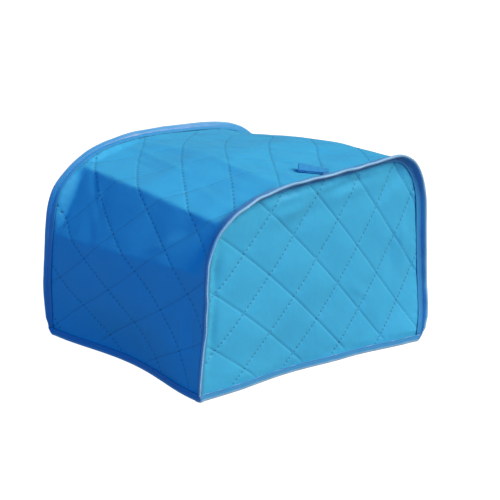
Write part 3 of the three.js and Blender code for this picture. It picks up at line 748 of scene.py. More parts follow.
class GussetCloth:
    """The long strip over the sides and the top; its flat cloth is depth across and length up."""

    quilting = GUSSET_QUILTING

    def loop(self, pitch):
        edge = HALF_DEPTH - 0.06
        low = HEM_EDGE_HEIGHT + 0.25
        high = STRIP_LENGTH - low
        corners = np.array([[-edge, low], [edge, low], [edge, high], [-edge, high]])
        ends = np.roll(corners, -1, axis=0)
        return np.vstack([evenly(np.array([start, end]), pitch)[:-1] for start, end in zip(corners, ends)])

    def hem_distance(self, flat):
        return np.minimum(flat[:, 1], STRIP_LENGTH - flat[:, 1])

    def outer_height(self, settings, flat):
        across = flat[:, 0]
        length = flat[:, 1]
        on_top = smooth(185, 225, length) * (1 - smooth(430, 480, length))
        height = quilted_height(settings, self.quilting, flat, 1 - 0.7 * on_top) * (1 - 0.45 * on_top)
        height = height + settings.unevenness_mm * waves(across, length, 52, 31)
        creases = waves(across * 0.55, length * 2.2, 34, 32)
        height = height + 0.26 * on_top * creases
        edge_distance = HALF_DEPTH - np.abs(across)
        gathers = waves(across * 2, length * 3, 26, 33)
        height = height + 0.3 * gathers * np.exp(-((edge_distance / 8) ** 2))
        height = height * (0.45 + 0.55 * smooth(0, 5, edge_distance))
        return hem_taper(height, -HEM_SQUEEZE_OUTSIDE, self.hem_distance(flat))

    def inner_height(self, flat):
        return hem_taper(np.full(len(flat), -CLOTH_THICKNESS), -HEM_SQUEEZE_INSIDE, self.hem_distance(flat))

    def place(self, flat, height):
        across = np.clip(flat[:, 0] / HALF_DEPTH, -1, 1)
        length = flat[:, 1]
        edge_distance = np.minimum(HALF_DEPTH - np.abs(flat[:, 0]), self.hem_distance(flat) - 8)
        out = height - hollow_depth(GUSSET_HOLLOWS + GUSSET_FOLDS, flat[:, 0], length, edge_distance)
        return gusset_face(length, across) + gusset_normal(length, across) * out[:, None]


FRONT_CLOTH = PanelCloth(FRONT_X, FRONT_Z, FRONT_QUILTING, front_face_y, -1, FRONT_HOLLOWS + FRONT_FOLDS, 11)
BACK_CLOTH = PanelCloth(BACK_X, BACK_Z, BACK_QUILTING, back_face_y, 1, [], 21)
GUSSET_CLOTH = GussetCloth()


def quilted_piece(settings, name, cloth, node):
    quilting = cloth.quilting
    edge_loop = cloth.loop(CLOTH_EDGE_PITCH)
    fine = points_inside(
        quilting,
        stitch_fractions(quilting.first_stitches, quilting.first_spacing),
        near_line_fractions(quilting.second_spacing),
        edge_loop, 0.5)
    coarse_fractions = np.arange(8) / 8
    coarse = points_inside(quilting, coarse_fractions, coarse_fractions, edge_loop, 1.5)
    outer_flat, outer_faces, outer_rim = triangulated(edge_loop, fine)
    inner_flat, inner_faces, inner_rim = triangulated(edge_loop, coarse)
    outer = cloth.place(outer_flat, cloth.outer_height(settings, outer_flat))
    inner = cloth.place(inner_flat, cloth.inner_height(inner_flat))
    piece = joined_sheet(name, quilting, outer, outer_faces, outer_rim, outer_flat,
                         inner, inner_faces, inner_rim, inner_flat)
    piece.data.materials.append(cloth_material(settings, name, quilting))
    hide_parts(node)
    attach(piece, "root")
    return piece


# Folded tape
def swept_piece(name, rings, closed, along, around, folds, sharp_angle=40):
    """A closed tube through equal rings of points, with flat places along and around the tape.

    The folds give each point of a ring a share from 0 to 1 of the paler highlight painted on the tape's
    folded edge.
    """
    ring_count, count = rings.shape[:2]
    points = rings.reshape(-1, 3)
    faces = []
    places = []
    spans = ring_count if closed else ring_count - 1
    for ring in range(spans):
        here = ring * count
        there = ((ring + 1) % ring_count) * count
        for side in range(count):
            following = (side + 1) % count
            faces.append((here + side, here + following, there + following, there + side))
            places += [(along[ring], around[side]), (along[ring], around[side + 1]),
                       (along[ring + 1], around[side + 1]), (along[ring + 1], around[side])]
    if not closed:
        for start in (0, (ring_count - 1) * count):
            faces.append(tuple(range(start, start + count)))
            places += [(along[0], around[side]) for side in range(count)]
    return mesh_piece(name, points, faces, loop_flat=np.array(places),
                      folds=np.tile(folds, ring_count), sharp_angle=sharp_angle)


def around_lengths(ring):
    return run_lengths(np.vstack([ring, ring[:1]]))


def along_lengths(rings, closed):
    middle = rings.mean(axis=1)
    if closed:
        middle = np.vstack([middle, middle[:1]])
    return run_lengths(middle)


def seam_profile(width, lean, thickness, sway, pinch):
    """The tape round a seam: out from the gusset and ahead of the panel. It pinches at its stitches."""
    angle = math.radians(lean)
    out = np.array([math.cos(angle), math.sin(angle)])
    side = np.array([math.sin(angle), -math.cos(angle)])
    half = thickness / 2

    def at(far, off):
        return out * far + side * (off + sway * (far / width) ** 2)

    tip = width - half * 0.9
    return np.array([
        (0.5, 0.42),
        (0.5, -1.9),
        (0.95, -1.75),
        (1.25, -0.9),
        at(1.5, half + 0.12),
        at(1.9, half - 0.05 - pinch),
        at(2.5, half - 0.1 - pinch),
        at(3.1, half + 0.02),
        at(0.5 * width + 0.9, half + 0.08),
        at(tip - 0.5, half),
        at(tip + 0.25, half * 0.86),
        at(tip + 0.75, half * 0.55),
        at(width, 0),
        at(tip + 0.75, -half * 0.55),
        at(tip + 0.25, -half * 0.86),
        at(tip - 0.5, -half),
        at(0.5 * width + 0.9, -half - 0.08),
        at(3.1, -half - 0.02),
        at(2.5, -half + 0.1 + pinch),
        at(1.9, -half + 0.05 + pinch),
        at(1.5, -half - 0.12),
        (-1.2, 1.5),
        (-2.6, 1.0),
        (-4.1, 0.78),
        (-4.15, 0.42),
        (-2.0, 0.4),
    ])


# The profile's points at the tape's outer fold, where a paler highlight is painted into the tape's colour
SEAM_FOLDS = np.zeros(26)
SEAM_FOLDS[10:15] = 1
SEAM_FOLDS[[9, 15]] = 0.3


def seam_frames(across, pitch):
    """Places along a seam: cloth length, root point, and the directions out, ahead and along."""
    start = HEM_BAND_HEIGHT + 0.5
    count = int((STRIP_LENGTH - 2 * start) / pitch) + 1
    lengths = np.linspace(start, STRIP_LENGTH - start, count)
    root = gusset_face(lengths, across)
    along = gusset_face(lengths + 0.5, across) - gusset_face(lengths - 0.5, across)
    out = unit(np.stack([-along[:, 2], np.zeros(count), along[:, 0]], axis=-1))
    ahead = np.tile([0.0, across, 0.0], (count, 1))
    return lengths, root, out, ahead, unit(along)


def seam_shape(rows, column, length):
    """A column of a seam's shape table at a cloth length, eased from row to row."""
    index = np.clip(np.searchsorted(rows[:, 0], length, side="left") - 1, 0, len(rows) - 2)
    part = smooth(rows[index, 0], rows[index + 1, 0], length)
    return rows[index, column] + (rows[index + 1, column] - rows[index, column]) * part


def seam_rings(settings, across, pitch):
    lengths, root, out, ahead, along = seam_frames(across, pitch)
    rows = FRONT_SEAM_SHAPE if across < 0 else BACK_SEAM_SHAPE

    def waved(size, seed):
        return waves(lengths, lengths * 0, size, seed + int(across))

    width = seam_shape(rows, 1, lengths) + 0.25 * waved(30, 41)
    lean = seam_shape(rows, 2, lengths) + 3.5 * waved(44, 43)
    thickness = SEAM_TAPE_THICKNESS - 0.25 + 0.12 * waved(14, 45)
    sway = 0.35 * waved(22, 47)
    sway = sway * smooth(3.5, 8, width)
    pinch = 0.14 * (0.5 + 0.5 * np.cos(lengths * math.tau / settings.tape_stitch_mm))
    rings = []
    for index in range(len(lengths)):
        profile = seam_profile(width[index], lean[index], thickness[index], sway[index], pinch[index])
        rings.append(root[index] + profile[:, :1] * out[index] + profile[:, 1:] * ahead[index])
    return lengths, np.array(rings), along


def seam_binding(settings, name, across, node):
    lengths, rings, _ = seam_rings(settings, across, SEAM_TAPE_PITCH)
    piece = swept_piece(name, rings, False, lengths, around_lengths(rings[len(rings) // 2]), SEAM_FOLDS)
    return finished_tape(settings, piece, node)


def finished_tape(settings, piece, node):
    piece.data.materials.append(tape_material(settings))
    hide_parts(node)
    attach(piece, "root")
    return piece


def hem_wall_points(height):
    """The hem binding's four walls at a height, station by station round the cover."""
    rows = []

    def gusset_row(side, across):
        length = height if side < 0 else STRIP_LENGTH - height
        point = gusset_face(length, across)
        normal = gusset_normal(length, across) * [1, 1, 0]
        normal = normal / np.linalg.norm(normal)
        rows.append([point[:2] - normal[:2] * depth for depth in HEM_WALL_DEPTHS])

    def panel_row(face, side, x):
        slope = (face(x + 0.5, height) - face(x - 0.5, height)) * side
        size = math.hypot(1, slope)
        rows.append([[x + slope / size * depth, face(x, height) - side / size * depth]
                     for depth in HEM_WALL_DEPTHS])

    def corner_rows(side, across, backwards):
        length = height if side < 0 else STRIP_LENGTH - height
        root = gusset_face(length, across)
        walls = HEM_CORNER.copy()
        if height == 0:
            walls[:, 0] = HEM_CORNER_FOOT
        corner = [[[root[0] + side * out, root[1] + across * ahead] for out, ahead in row] for row in walls]
        rows.extend(reversed(corner) if backwards else corner)

    across_places = np.linspace(-0.9, 0.9, HEM_GUSSET_ROWS)
    corner_rows(-1, -1, True)
    for across in across_places:
        gusset_row(-1, across)
    corner_rows(-1, 1, False)
    for x in np.linspace(*HEM_BACK_RUN, HEM_PANEL_ROWS):
        panel_row(back_face_y, 1, x)
    corner_rows(1, 1, True)
    for across in across_places[::-1]:
        gusset_row(1, across)
    corner_rows(1, -1, False)
    for x in np.linspace(*HEM_FRONT_RUN, HEM_PANEL_ROWS):
        panel_row(front_face_y, -1, x)
    return np.array(rows)


def rounder(values, steps):
    """A smooth closed run through the rows, with several steps between neighbours."""
    before = np.roll(values, 1, axis=0)
    end = np.roll(values, -1, axis=0)
    after = np.roll(values, -2, axis=0)
    rows = [curve_between(before, values, end, after, part) for part in np.arange(steps) / steps]
    return np.stack(rows, axis=1).reshape(-1, *values.shape[1:])


# The hem binding's section: wall place from 0 outside to 3 inside, height, and extra bulge outwards
HEM_SECTION = [
    (0.06, 0.3, 0.0), (0.0, 0.8, 0.05), (0.0, 1.8, 0.22), (0.0, 3.0, 0.26), (0.0, 4.2, 0.16),
    (0.0, 5.0, -0.12), (0.0, 5.6, -0.05), (0.0, 6.3, 0.1), (0.15, 6.85, 0.05), (0.5, 7.05, 0.0),
    (0.9, 6.9, 0.0), (1.0, 6.2, 0.0), (1.0, 1.2, 0.0), (1.3, 1.0, 0.0), (1.7, 1.0, 0.0),
    (2.0, 1.2, 0.0), (2.0, 6.2, 0.0), (2.1, 6.9, 0.0), (2.5, 7.05, 0.0), (2.85, 6.85, 0.0),
    (3.0, 6.3, 0.0), (3.0, 5.4, -0.1), (3.0, 4.2, 0.1), (3.0, 2.4, 0.1), (3.0, 0.8, 0.0),
    (2.9, 0.3, 0.0), (2.6, 0.0, 0.0), (1.5, 0.0, 0.0), (0.4, 0.0, 0.0),
]
HEM_STITCH_HEIGHT = 5.2
HEM_PINCH_HEIGHTS = (4.5, 6)
# The points at the hem tape's outer bottom fold, where a paler highlight is painted into the tape's colour
HEM_FOLDS = np.array([1 if wall < 0.5 and height < 2.5 else 0 for wall, height, _ in HEM_SECTION])


def hem_walls():
    low = rounder(hem_wall_points(0.0), HEM_STEPS_PER_ROW)
    high = rounder(hem_wall_points(HEM_BAND_HEIGHT), HEM_STEPS_PER_ROW)
    return low, high


def hem_point(low, high, wall, height, bulge):
    """Points of the hem binding all the way round, at one place of its section."""
    part = min(height / HEM_BAND_HEIGHT, 1)
    walls = low + (high - low) * part
    index = min(int(wall), 2)
    share = wall - index
    flat = walls[:, index] + (walls[:, index + 1] - walls[:, index]) * share
    outwards = unit(walls[:, 0] - walls[:, 3])
    side = 1 if wall < 1.5 else -1
    flat = flat + outwards * (side * np.asarray(bulge)[..., None] if np.ndim(bulge) else side * bulge)
    return np.column_stack([flat, np.full(len(flat), height)])


def hem_binding(settings):
    low, high = hem_walls()
    middle = (low[:, 0] + high[:, 0]) / 2
    lengths = run_lengths(middle)
    swell = waves(lengths, lengths * 0, 18, 51)
    rings = []
    for wall, height, bulge in HEM_SECTION:
        life = 0.12 * swell * smooth(0.2, 2.5, height) * (abs(bulge) > 0)
        sewn = HEM_PINCH_HEIGHTS[0] < height < HEM_PINCH_HEIGHTS[1]
        pinch = 0.1 * np.cos(lengths * math.tau / settings.tape_stitch_mm) * sewn
        rings.append(hem_point(low, high, wall, height, bulge + life - pinch))
    rings = np.stack(rings, axis=1)
    around = around_lengths(rings[HEM_MEASURED_RING])
    piece = swept_piece("hem_tape", rings, True, along_lengths(rings, True), around, HEM_FOLDS)
    return finished_tape(settings, piece, "hem_binding")


def top_height(x, y):
    """The height of the cover's top at a place, found by halving the cloth length between two stations."""
    low = np.full_like(x, length_at(9.0))
    high = np.full_like(x, length_at(18.0))
    for _ in range(30):
        middle = (low + high) / 2
        short = gusset_face(middle, y / HALF_DEPTH)[..., 0] < x
        low = np.where(short, middle, low)
        high = np.where(short, high, middle)
    return gusset_face(low, y / HALF_DEPTH)[..., 2]


def tab_outline(shrink):
    """The folded strip seen from its side: far along the tab and height, in by a little at its edges."""
    outer_radius = TAB_THICKNESS + TAB_OPENING / 2
    inner_radius = TAB_OPENING / 2
    centre = TAB_LENGTH - outer_radius
    outer = outer_radius - shrink
    inner = inner_radius + shrink
    places = np.linspace(0, centre, 24)
    angles = np.linspace(-math.pi / 2, math.pi / 2, 13)

    def bend(radius, turns):
        return [(centre + radius * math.cos(turn), outer_radius + radius * math.sin(turn)) for turn in turns]

    points = [(far, shrink) for far in places[:-1]]
    points += bend(outer, angles)
    points += [(far, 2 * outer_radius - shrink) for far in places[::-1][1:]]
    points += [(far, outer_radius + inner) for far in places[:-1]]
    points += bend(inner, -angles)
    points += [(far, TAB_THICKNESS - shrink) for far in places[::-1][1:]]
    return np.array(points)


def top_tab(settings):
    turn = math.radians(TAB_TURN)
    along = (-math.sin(turn), math.cos(turn))
    side = (-math.cos(turn), -math.sin(turn))
    rings = []
    for wide, shrink in TAB_ROWS:
        outline = tab_outline(shrink)
        far = outline[:, 0]
        height = outline[:, 1] + 0.12 * np.sin(far * 0.9) * (outline[:, 1] > 1.5)
        off = wide - TAB_WIDTH / 2
        x = TAB_ROOT[0] + along[0] * far + side[0] * off
        y = np.maximum(TAB_ROOT[1] + along[1] * far + side[1] * off, TAB_ROOT[1])
        rise = TAB_END_LIFT * (far / TAB_LENGTH) ** 2
        rise = rise + TAB_SIDE_LIFT * (1 - wide / TAB_WIDTH) * (0.3 + 0.7 * far / TAB_LENGTH)
        rings.append(np.stack([x, y, top_height(x, y) + TAB_CLEARANCE + rise + height], axis=-1))
    rings = np.array(rings)
    around = around_lengths(rings[len(rings) // 2])
    folds = np.zeros(rings.shape[1])
    piece = swept_piece("top_tab_tape", rings, False, along_lengths(rings, False), around, folds)
    return finished_tape(settings, piece, "top_tab")


# Stitches, in millimetres: their room from the cloth's edge, from the hem and from a seam's ends, and lengths
STITCH_EDGE_PITCH = 4.0
STITCH_EDGE_ROOM = 3
STITCH_HEM_ROOM = 2.5
CLOTH_STITCH_LENGTH = 2.5
TAPE_STITCH_LENGTH = 2.6
SEAM_STITCH_START = 14

# The seam profile's stitched corners, each with the corner it is averaged with and the two beside it
SEAM_STITCH_CORNERS = ((6, 5, 5, 7), (18, 19, 17, 19))


def stitch_tree():
    """A node tree that lays one thread stitch on each point, turned along the seam."""
    tree = bpy.data.node_groups.new("thread_stitches", "GeometryNodeTree")
    face = tree.interface
    face.new_socket("Geometry", in_out="INPUT", socket_type="NodeSocketGeometry")
    inputs = [("Stitch Length", 0.0034), ("Thread Width", 0.0005), ("Thread Height", 0.00035)]
    for name, default in inputs:
        socket = face.new_socket(name, in_out="INPUT", socket_type="NodeSocketFloat")
        socket.default_value = default
        socket.subtype = "DISTANCE"
    seed = face.new_socket("Seed", in_out="INPUT", socket_type="NodeSocketInt")
    seed.default_value = 7
    face.new_socket("Thread", in_out="INPUT", socket_type="NodeSocketMaterial")
    face.new_socket("Geometry", in_out="OUTPUT", socket_type="NodeSocketGeometry")
    nodes = tree.nodes
    links = tree.links
    start = nodes.new("NodeGroupInput")
    end = nodes.new("NodeGroupOutput")
    bead = nodes.new("GeometryNodeMeshUVSphere")
    bead.inputs["Segments"].default_value = 6
    bead.inputs["Rings"].default_value = 5
    bead.inputs["Radius"].default_value = 0.5
    size = nodes.new("ShaderNodeCombineXYZ")
    shape = nodes.new("GeometryNodeTransform")
    along = nodes.new("GeometryNodeInputNamedAttribute")
    along.data_type = "FLOAT_VECTOR"
    along.inputs["Name"].default_value = "stitch_along"
    raised = nodes.new("GeometryNodeInputNamedAttribute")
    raised.data_type = "FLOAT_VECTOR"
    raised.inputs["Name"].default_value = "stitch_up"
    turn = nodes.new("FunctionNodeAxesToRotation")
    turn.primary_axis = "X"
    turn.secondary_axis = "Z"
    uneven = nodes.new("FunctionNodeRandomValue")
    uneven.data_type = "FLOAT"
    for socket, default in zip(uneven.inputs[2:4], (0.88, 1.08)):
        socket.default_value = default
    laid = nodes.new("GeometryNodeInstanceOnPoints")
    real = nodes.new("GeometryNodeRealizeInstances")
    soft = nodes.new("GeometryNodeSetShadeSmooth")
    coloured = nodes.new("GeometryNodeSetMaterial")
    links.new(start.outputs["Stitch Length"], size.inputs["X"])
    links.new(start.outputs["Thread Width"], size.inputs["Y"])
    links.new(start.outputs["Thread Height"], size.inputs["Z"])
    links.new(bead.outputs["Mesh"], shape.inputs["Geometry"])
    links.new(size.outputs["Vector"], shape.inputs["Scale"])
    links.new(along.outputs["Attribute"], turn.inputs["Primary Axis"])
    links.new(raised.outputs["Attribute"], turn.inputs["Secondary Axis"])
    links.new(start.outputs["Seed"], uneven.inputs["Seed"])
    links.new(start.outputs["Geometry"], laid.inputs["Points"])
    links.new(shape.outputs["Geometry"], laid.inputs["Instance"])
    links.new(turn.outputs["Rotation"], laid.inputs["Rotation"])
    links.new(uneven.outputs[1], laid.inputs["Scale"])
    links.new(laid.outputs["Instances"], real.inputs["Geometry"])
    links.new(real.outputs["Geometry"], soft.inputs["Geometry"])
    links.new(soft.outputs["Geometry"], coloured.inputs["Geometry"])
    links.new(start.outputs["Thread"], coloured.inputs["Material"])
    links.new(coloured.outputs["Geometry"], end.inputs["Geometry"])
    return tree


def stitched_piece(name, slot, tree, points, along, raised, length, width, thread):
    """Lays the stitches and keeps them as a plain mesh. Points are in millimetres."""
    mesh = bpy.data.meshes.new(name + "_places")
    mesh.from_pydata(((points + ORIGIN_SHIFT) * MILLIMETRE).tolist(), [], [])
    for label, values in (("stitch_along", along), ("stitch_up", raised)):
        attribute = mesh.attributes.new(label, "FLOAT_VECTOR", "POINT")
        attribute.data.foreach_set("vector", np.asarray(values, dtype=np.float32).ravel())
    holder = add_object(name + "_places", mesh)
    modifier = holder.modifiers.new("stitches", "NODES")
    modifier.node_group = tree
    values = {
        "Stitch Length": length * MILLIMETRE,
        "Thread Width": width * MILLIMETRE,
        "Thread Height": width * 0.8 * MILLIMETRE,
        "Seed": 7,
        "Thread": thread,
    }
    for item in tree.interface.items_tree:
        if item.in_out == "INPUT" and item.name in values:
            modifier[item.identifier] = values[item.name]
    evaluated = holder.evaluated_get(bpy.context.evaluated_depsgraph_get())
    made = bpy.data.meshes.new_from_object(evaluated)
    if not made.polygons:
        raise RuntimeError(name + " has no stitches")
    bpy.data.objects.remove(holder)
    made.name = name
    piece = add_object(name, made)
    if not made.materials:
        made.materials.append(thread)
    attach(piece, "root")
    return piece


def cloth_stitches(settings, cloth):
    """Places, directions and outward directions of the stitches along both families of lines."""
    quilting = cloth.quilting
    edge_loop = cloth.loop(STITCH_EDGE_PITCH)
    corners_a, corners_b = quilting.places(edge_loop)
    closed = np.vstack([edge_loop, edge_loop[:1]])
    middles = []
    ways = []
    for first_family in (True, False):
        stitches = quilting.first_stitches if first_family else quilting.second_stitches
        runs = corners_a if first_family else corners_b
        lines = corners_b if first_family else corners_a
        first_stitch = math.floor(runs.min() * stitches)
        last_stitch = math.ceil(runs.max() * stitches)
        run = (np.arange(first_stitch, last_stitch) + 0.5) / stitches
        line = np.arange(math.floor(lines.min()), math.ceil(lines.max()) + 1)
        grid = np.array(np.meshgrid(run, line, indexing="ij")).reshape(2, -1)
        step_a, step_b = (0.05, 0) if first_family else (0, 0.05)
        a, b = grid if first_family else grid[::-1]
        middles.append(quilting.flat(a, b))
        ways.append(unit(quilting.flat(a + step_a, b + step_b) - quilting.flat(a - step_a, b - step_b)))
    flat = np.vstack(middles)
    way = np.vstack(ways)
    kept = inside_loop(flat, edge_loop) & (line_distance(flat, closed) > STITCH_EDGE_ROOM)
    kept &= cloth.hem_distance(flat) > HEM_BAND_HEIGHT + STITCH_HEM_ROOM
    flat = flat[kept]
    way = way[kept]

    def surface(places):
        return cloth.place(places, cloth.outer_height(settings, places))

    middle = surface(flat)
    along = unit(surface(flat + way) - surface(flat - way))
    cross = np.stack([-way[:, 1], way[:, 0]], axis=-1)
    sideways = surface(flat + 1.2 * cross) - surface(flat - 1.2 * cross)
    raised = unit(np.cross(along, sideways))
    outward = cloth.place(flat, np.ones(len(flat))) - cloth.place(flat, np.zeros(len(flat)))
    raised = raised * np.sign(np.sum(raised * outward, axis=1))[:, None]
    return middle + raised * settings.thread_lift_mm, along, raised


def seam_tape_stitches(settings, across):
    lengths, rings, along = seam_rings(settings, across, settings.tape_stitch_mm)
    long_enough = (lengths > SEAM_STITCH_START) & (lengths < STRIP_LENGTH - SEAM_STITCH_START)
    centre = rings[:, 4:21].mean(axis=1)
    places = []
    ways = []
    ups = []
    for corner, neighbour, before, after in SEAM_STITCH_CORNERS:
        point = (rings[:, corner] + rings[:, neighbour]) / 2
        sideways = rings[:, after] - rings[:, before]
        raised = unit(np.cross(along, sideways))
        raised = raised * np.sign(np.sum(raised * (point - centre), axis=1))[:, None]
        places.append((point + raised * 0.05)[long_enough])
        ways.append(along[long_enough])
        ups.append(raised[long_enough])
    return np.vstack(places), np.vstack(ways), np.vstack(ups)


def hem_tape_stitches(settings):
    low, high = hem_walls()
    places = []
    ways = []
    ups = []
    for wall, side in ((0.0, 1), (3.0, -1)):
        loop = hem_point(low, high, wall, HEM_STITCH_HEIGHT, -0.04)
        loop = evenly(np.vstack([loop, loop[:1]]), settings.tape_stitch_mm)[:-1]
        along = unit(np.roll(loop, -1, axis=0) - np.roll(loop, 1, axis=0))
        outward = np.cross(along, [0, 0, 1])
        middle = loop.mean(axis=0)
        turned = np.sign(np.sum(outward * (loop - middle), axis=1))[:, None]
        places.append(loop)
        ways.append(along)
        ups.append(outward * turned * side)
    return np.vstack(places), np.vstack(ways), np.vstack(ups)


# Materials
def join(links, value, socket):
    if isinstance(value, bpy.types.NodeSocket):
        links.new(value, socket)
    else:
        socket.default_value = value


def sums(tree, operation, *values, clamp=False):
    node = tree.nodes.new("ShaderNodeMath")
    node.operation = operation
    node.use_clamp = clamp
    for value, socket in zip(values, node.inputs):
        join(tree.links, value, socket)
    return node.outputs[0]


def faded(tree, value, low, high):
    """One where the value is under low, none where it is over high."""
    node = tree.nodes.new("ShaderNodeMapRange")
    node.interpolation_type = "SMOOTHSTEP"
    join(tree.links, value, node.inputs["Value"])
    join(tree.links, low, node.inputs["From Min"])
    join(tree.links, high, node.inputs["From Max"])
    node.inputs["To Min"].default_value = 1
    node.inputs["To Max"].default_value = 0
    return node.outputs["Result"]


def noise(tree, vector, scale, detail):
    node = tree.nodes.new("ShaderNodeTexNoise")
    join(tree.links, vector, node.inputs["Vector"])
    node.inputs["Scale"].default_value = scale
    node.inputs["Detail"].default_value = detail
    return node.outputs["Fac"]


def mixed(tree, factor, first, second):
    node = tree.nodes.new("ShaderNodeMix")
    node.data_type = "RGBA"
    join(tree.links, factor, node.inputs[0])
    join(tree.links, first, node.inputs[6])
    join(tree.links, second, node.inputs[7])
    return node.outputs[2]


def shader_group(name, inputs, outputs):
    tree = bpy.data.node_groups.new(name, "ShaderNodeTree")
    for label, kind, default in inputs:
        socket = tree.interface.new_socket(label, in_out="INPUT", socket_type=kind)
        if default is not None:
            socket.default_value = default
    for label in outputs:
        tree.interface.new_socket(label, in_out="OUTPUT", socket_type="NodeSocketFloat")
    start = tree.nodes.new("NodeGroupInput")
    end = tree.nodes.new("NodeGroupOutput")
    return tree, start.outputs, end.inputs


def needle_marks_group():
    """Masks of the sewn lines: the dotted line's crease, the plain line's crease and the needle holes, used
    to paint shade into the cloth's colour; the holes also sink the bump.
    """
    name = "needle_marks"
    if name in bpy.data.node_groups:
        return bpy.data.node_groups[name]
    inputs = [
        ("Lattice", "NodeSocketVector", None),
        ("First Spacing", "NodeSocketFloat", 0.04),
        ("Second Spacing", "NodeSocketFloat", 0.04),
        ("Stitches", "NodeSocketFloat", 9.0),
        ("Stitch Pitch", "NodeSocketFloat", 0.0044),
        ("Hole Radius", "NodeSocketFloat", 0.0006),
        ("Crease Width", "NodeSocketFloat", 0.0009),
    ]
    tree, given, made = shader_group(name, inputs, ["Dotted Line", "Plain Line", "Holes"])
    parts = tree.nodes.new("ShaderNodeSeparateXYZ")
    tree.links.new(given["Lattice"], parts.inputs[0])
    a = parts.outputs["X"]
    b = parts.outputs["Y"]

    def from_whole(value, spacing):
        nearest = sums(tree, "ROUND", value)
        gap = sums(tree, "ABSOLUTE", sums(tree, "SUBTRACT", value, nearest))
        return sums(tree, "MULTIPLY", gap, spacing)

    from_dotted = from_whole(b, given["Second Spacing"])
    from_plain = from_whole(a, given["First Spacing"])
    along = from_whole(sums(tree, "MULTIPLY", a, given["Stitches"]), given["Stitch Pitch"])
    longways = sums(tree, "MULTIPLY", along, 1.3)
    sideways = sums(tree, "MULTIPLY", from_dotted, 0.85)
    longways_square = sums(tree, "MULTIPLY", longways, longways)
    squares = sums(tree, "ADD", longways_square, sums(tree, "MULTIPLY", sideways, sideways))
    from_hole = sums(tree, "SQRT", squares)
    tree.links.new(faded(tree, from_dotted, 0.0, given["Crease Width"]), made["Dotted Line"])
    tree.links.new(faded(tree, from_plain, 0.0, given["Crease Width"]), made["Plain Line"])
    half = sums(tree, "MULTIPLY", given["Hole Radius"], 0.45)
    tree.links.new(faded(tree, from_hole, half, given["Hole Radius"]), made["Holes"])
    return tree


def weave_group():
    """Height of a fine plain weave, over and under, with a little unevenness in the yarns."""
    name = "fine_weave"
    if name in bpy.data.node_groups:
        return bpy.data.node_groups[name]
    inputs = [
        ("Cloth", "NodeSocketVector", None),
        ("Yarn Width", "NodeSocketFloat", 0.0004),
        ("Slant", "NodeSocketFloat", 0.0),
    ]
    tree, given, made = shader_group(name, inputs, ["Height"])
    parts = tree.nodes.new("ShaderNodeSeparateXYZ")
    tree.links.new(given["Cloth"], parts.inputs[0])
    turns = sums(tree, "DIVIDE", math.pi, given["Yarn Width"])
    warp = sums(tree, "SINE", sums(tree, "MULTIPLY", parts.outputs["X"], turns))
    leaned = sums(tree, "ADD", parts.outputs["Y"], sums(tree, "MULTIPLY", parts.outputs["X"], given["Slant"]))
    weft = sums(tree, "SINE", sums(tree, "MULTIPLY", leaned, turns))
    cross = sums(tree, "MULTIPLY", warp, weft)
    uneven = noise(tree, given["Cloth"], 900.0, 2.0)
    tree.links.new(sums(tree, "ADD", sums(tree, "MULTIPLY", cross, 0.5), uneven), made["Height"])
    return tree


def placed_group(tree, group, values):
    node = tree.nodes.new("ShaderNodeGroup")
    node.node_tree = group
    for label, value in values.items():
        join(tree.links, value, node.inputs[label])
    return node.outputs


def new_material(name):
    material = bpy.data.materials.new(name)
    material.use_nodes = True
    tree = material.node_tree
    shader = tree.nodes["Principled BSDF"]
    return material, tree, shader


def flat_places(tree, layer="cloth"):
    node = tree.nodes.new("ShaderNodeUVMap")
    node.uv_map = layer
    return node.outputs["UV"]


def bumped(tree, shader, height, strength, distance):
    node = tree.nodes.new("ShaderNodeBump")
    node.inputs["Strength"].default_value = strength
    node.inputs["Distance"].default_value = distance
    tree.links.new(height, node.inputs["Height"])
    tree.links.new(node.outputs["Normal"], shader.inputs["Normal"])


def deeper(colour, share):
    return (*[channel * share for channel in colour[:3]], 1)


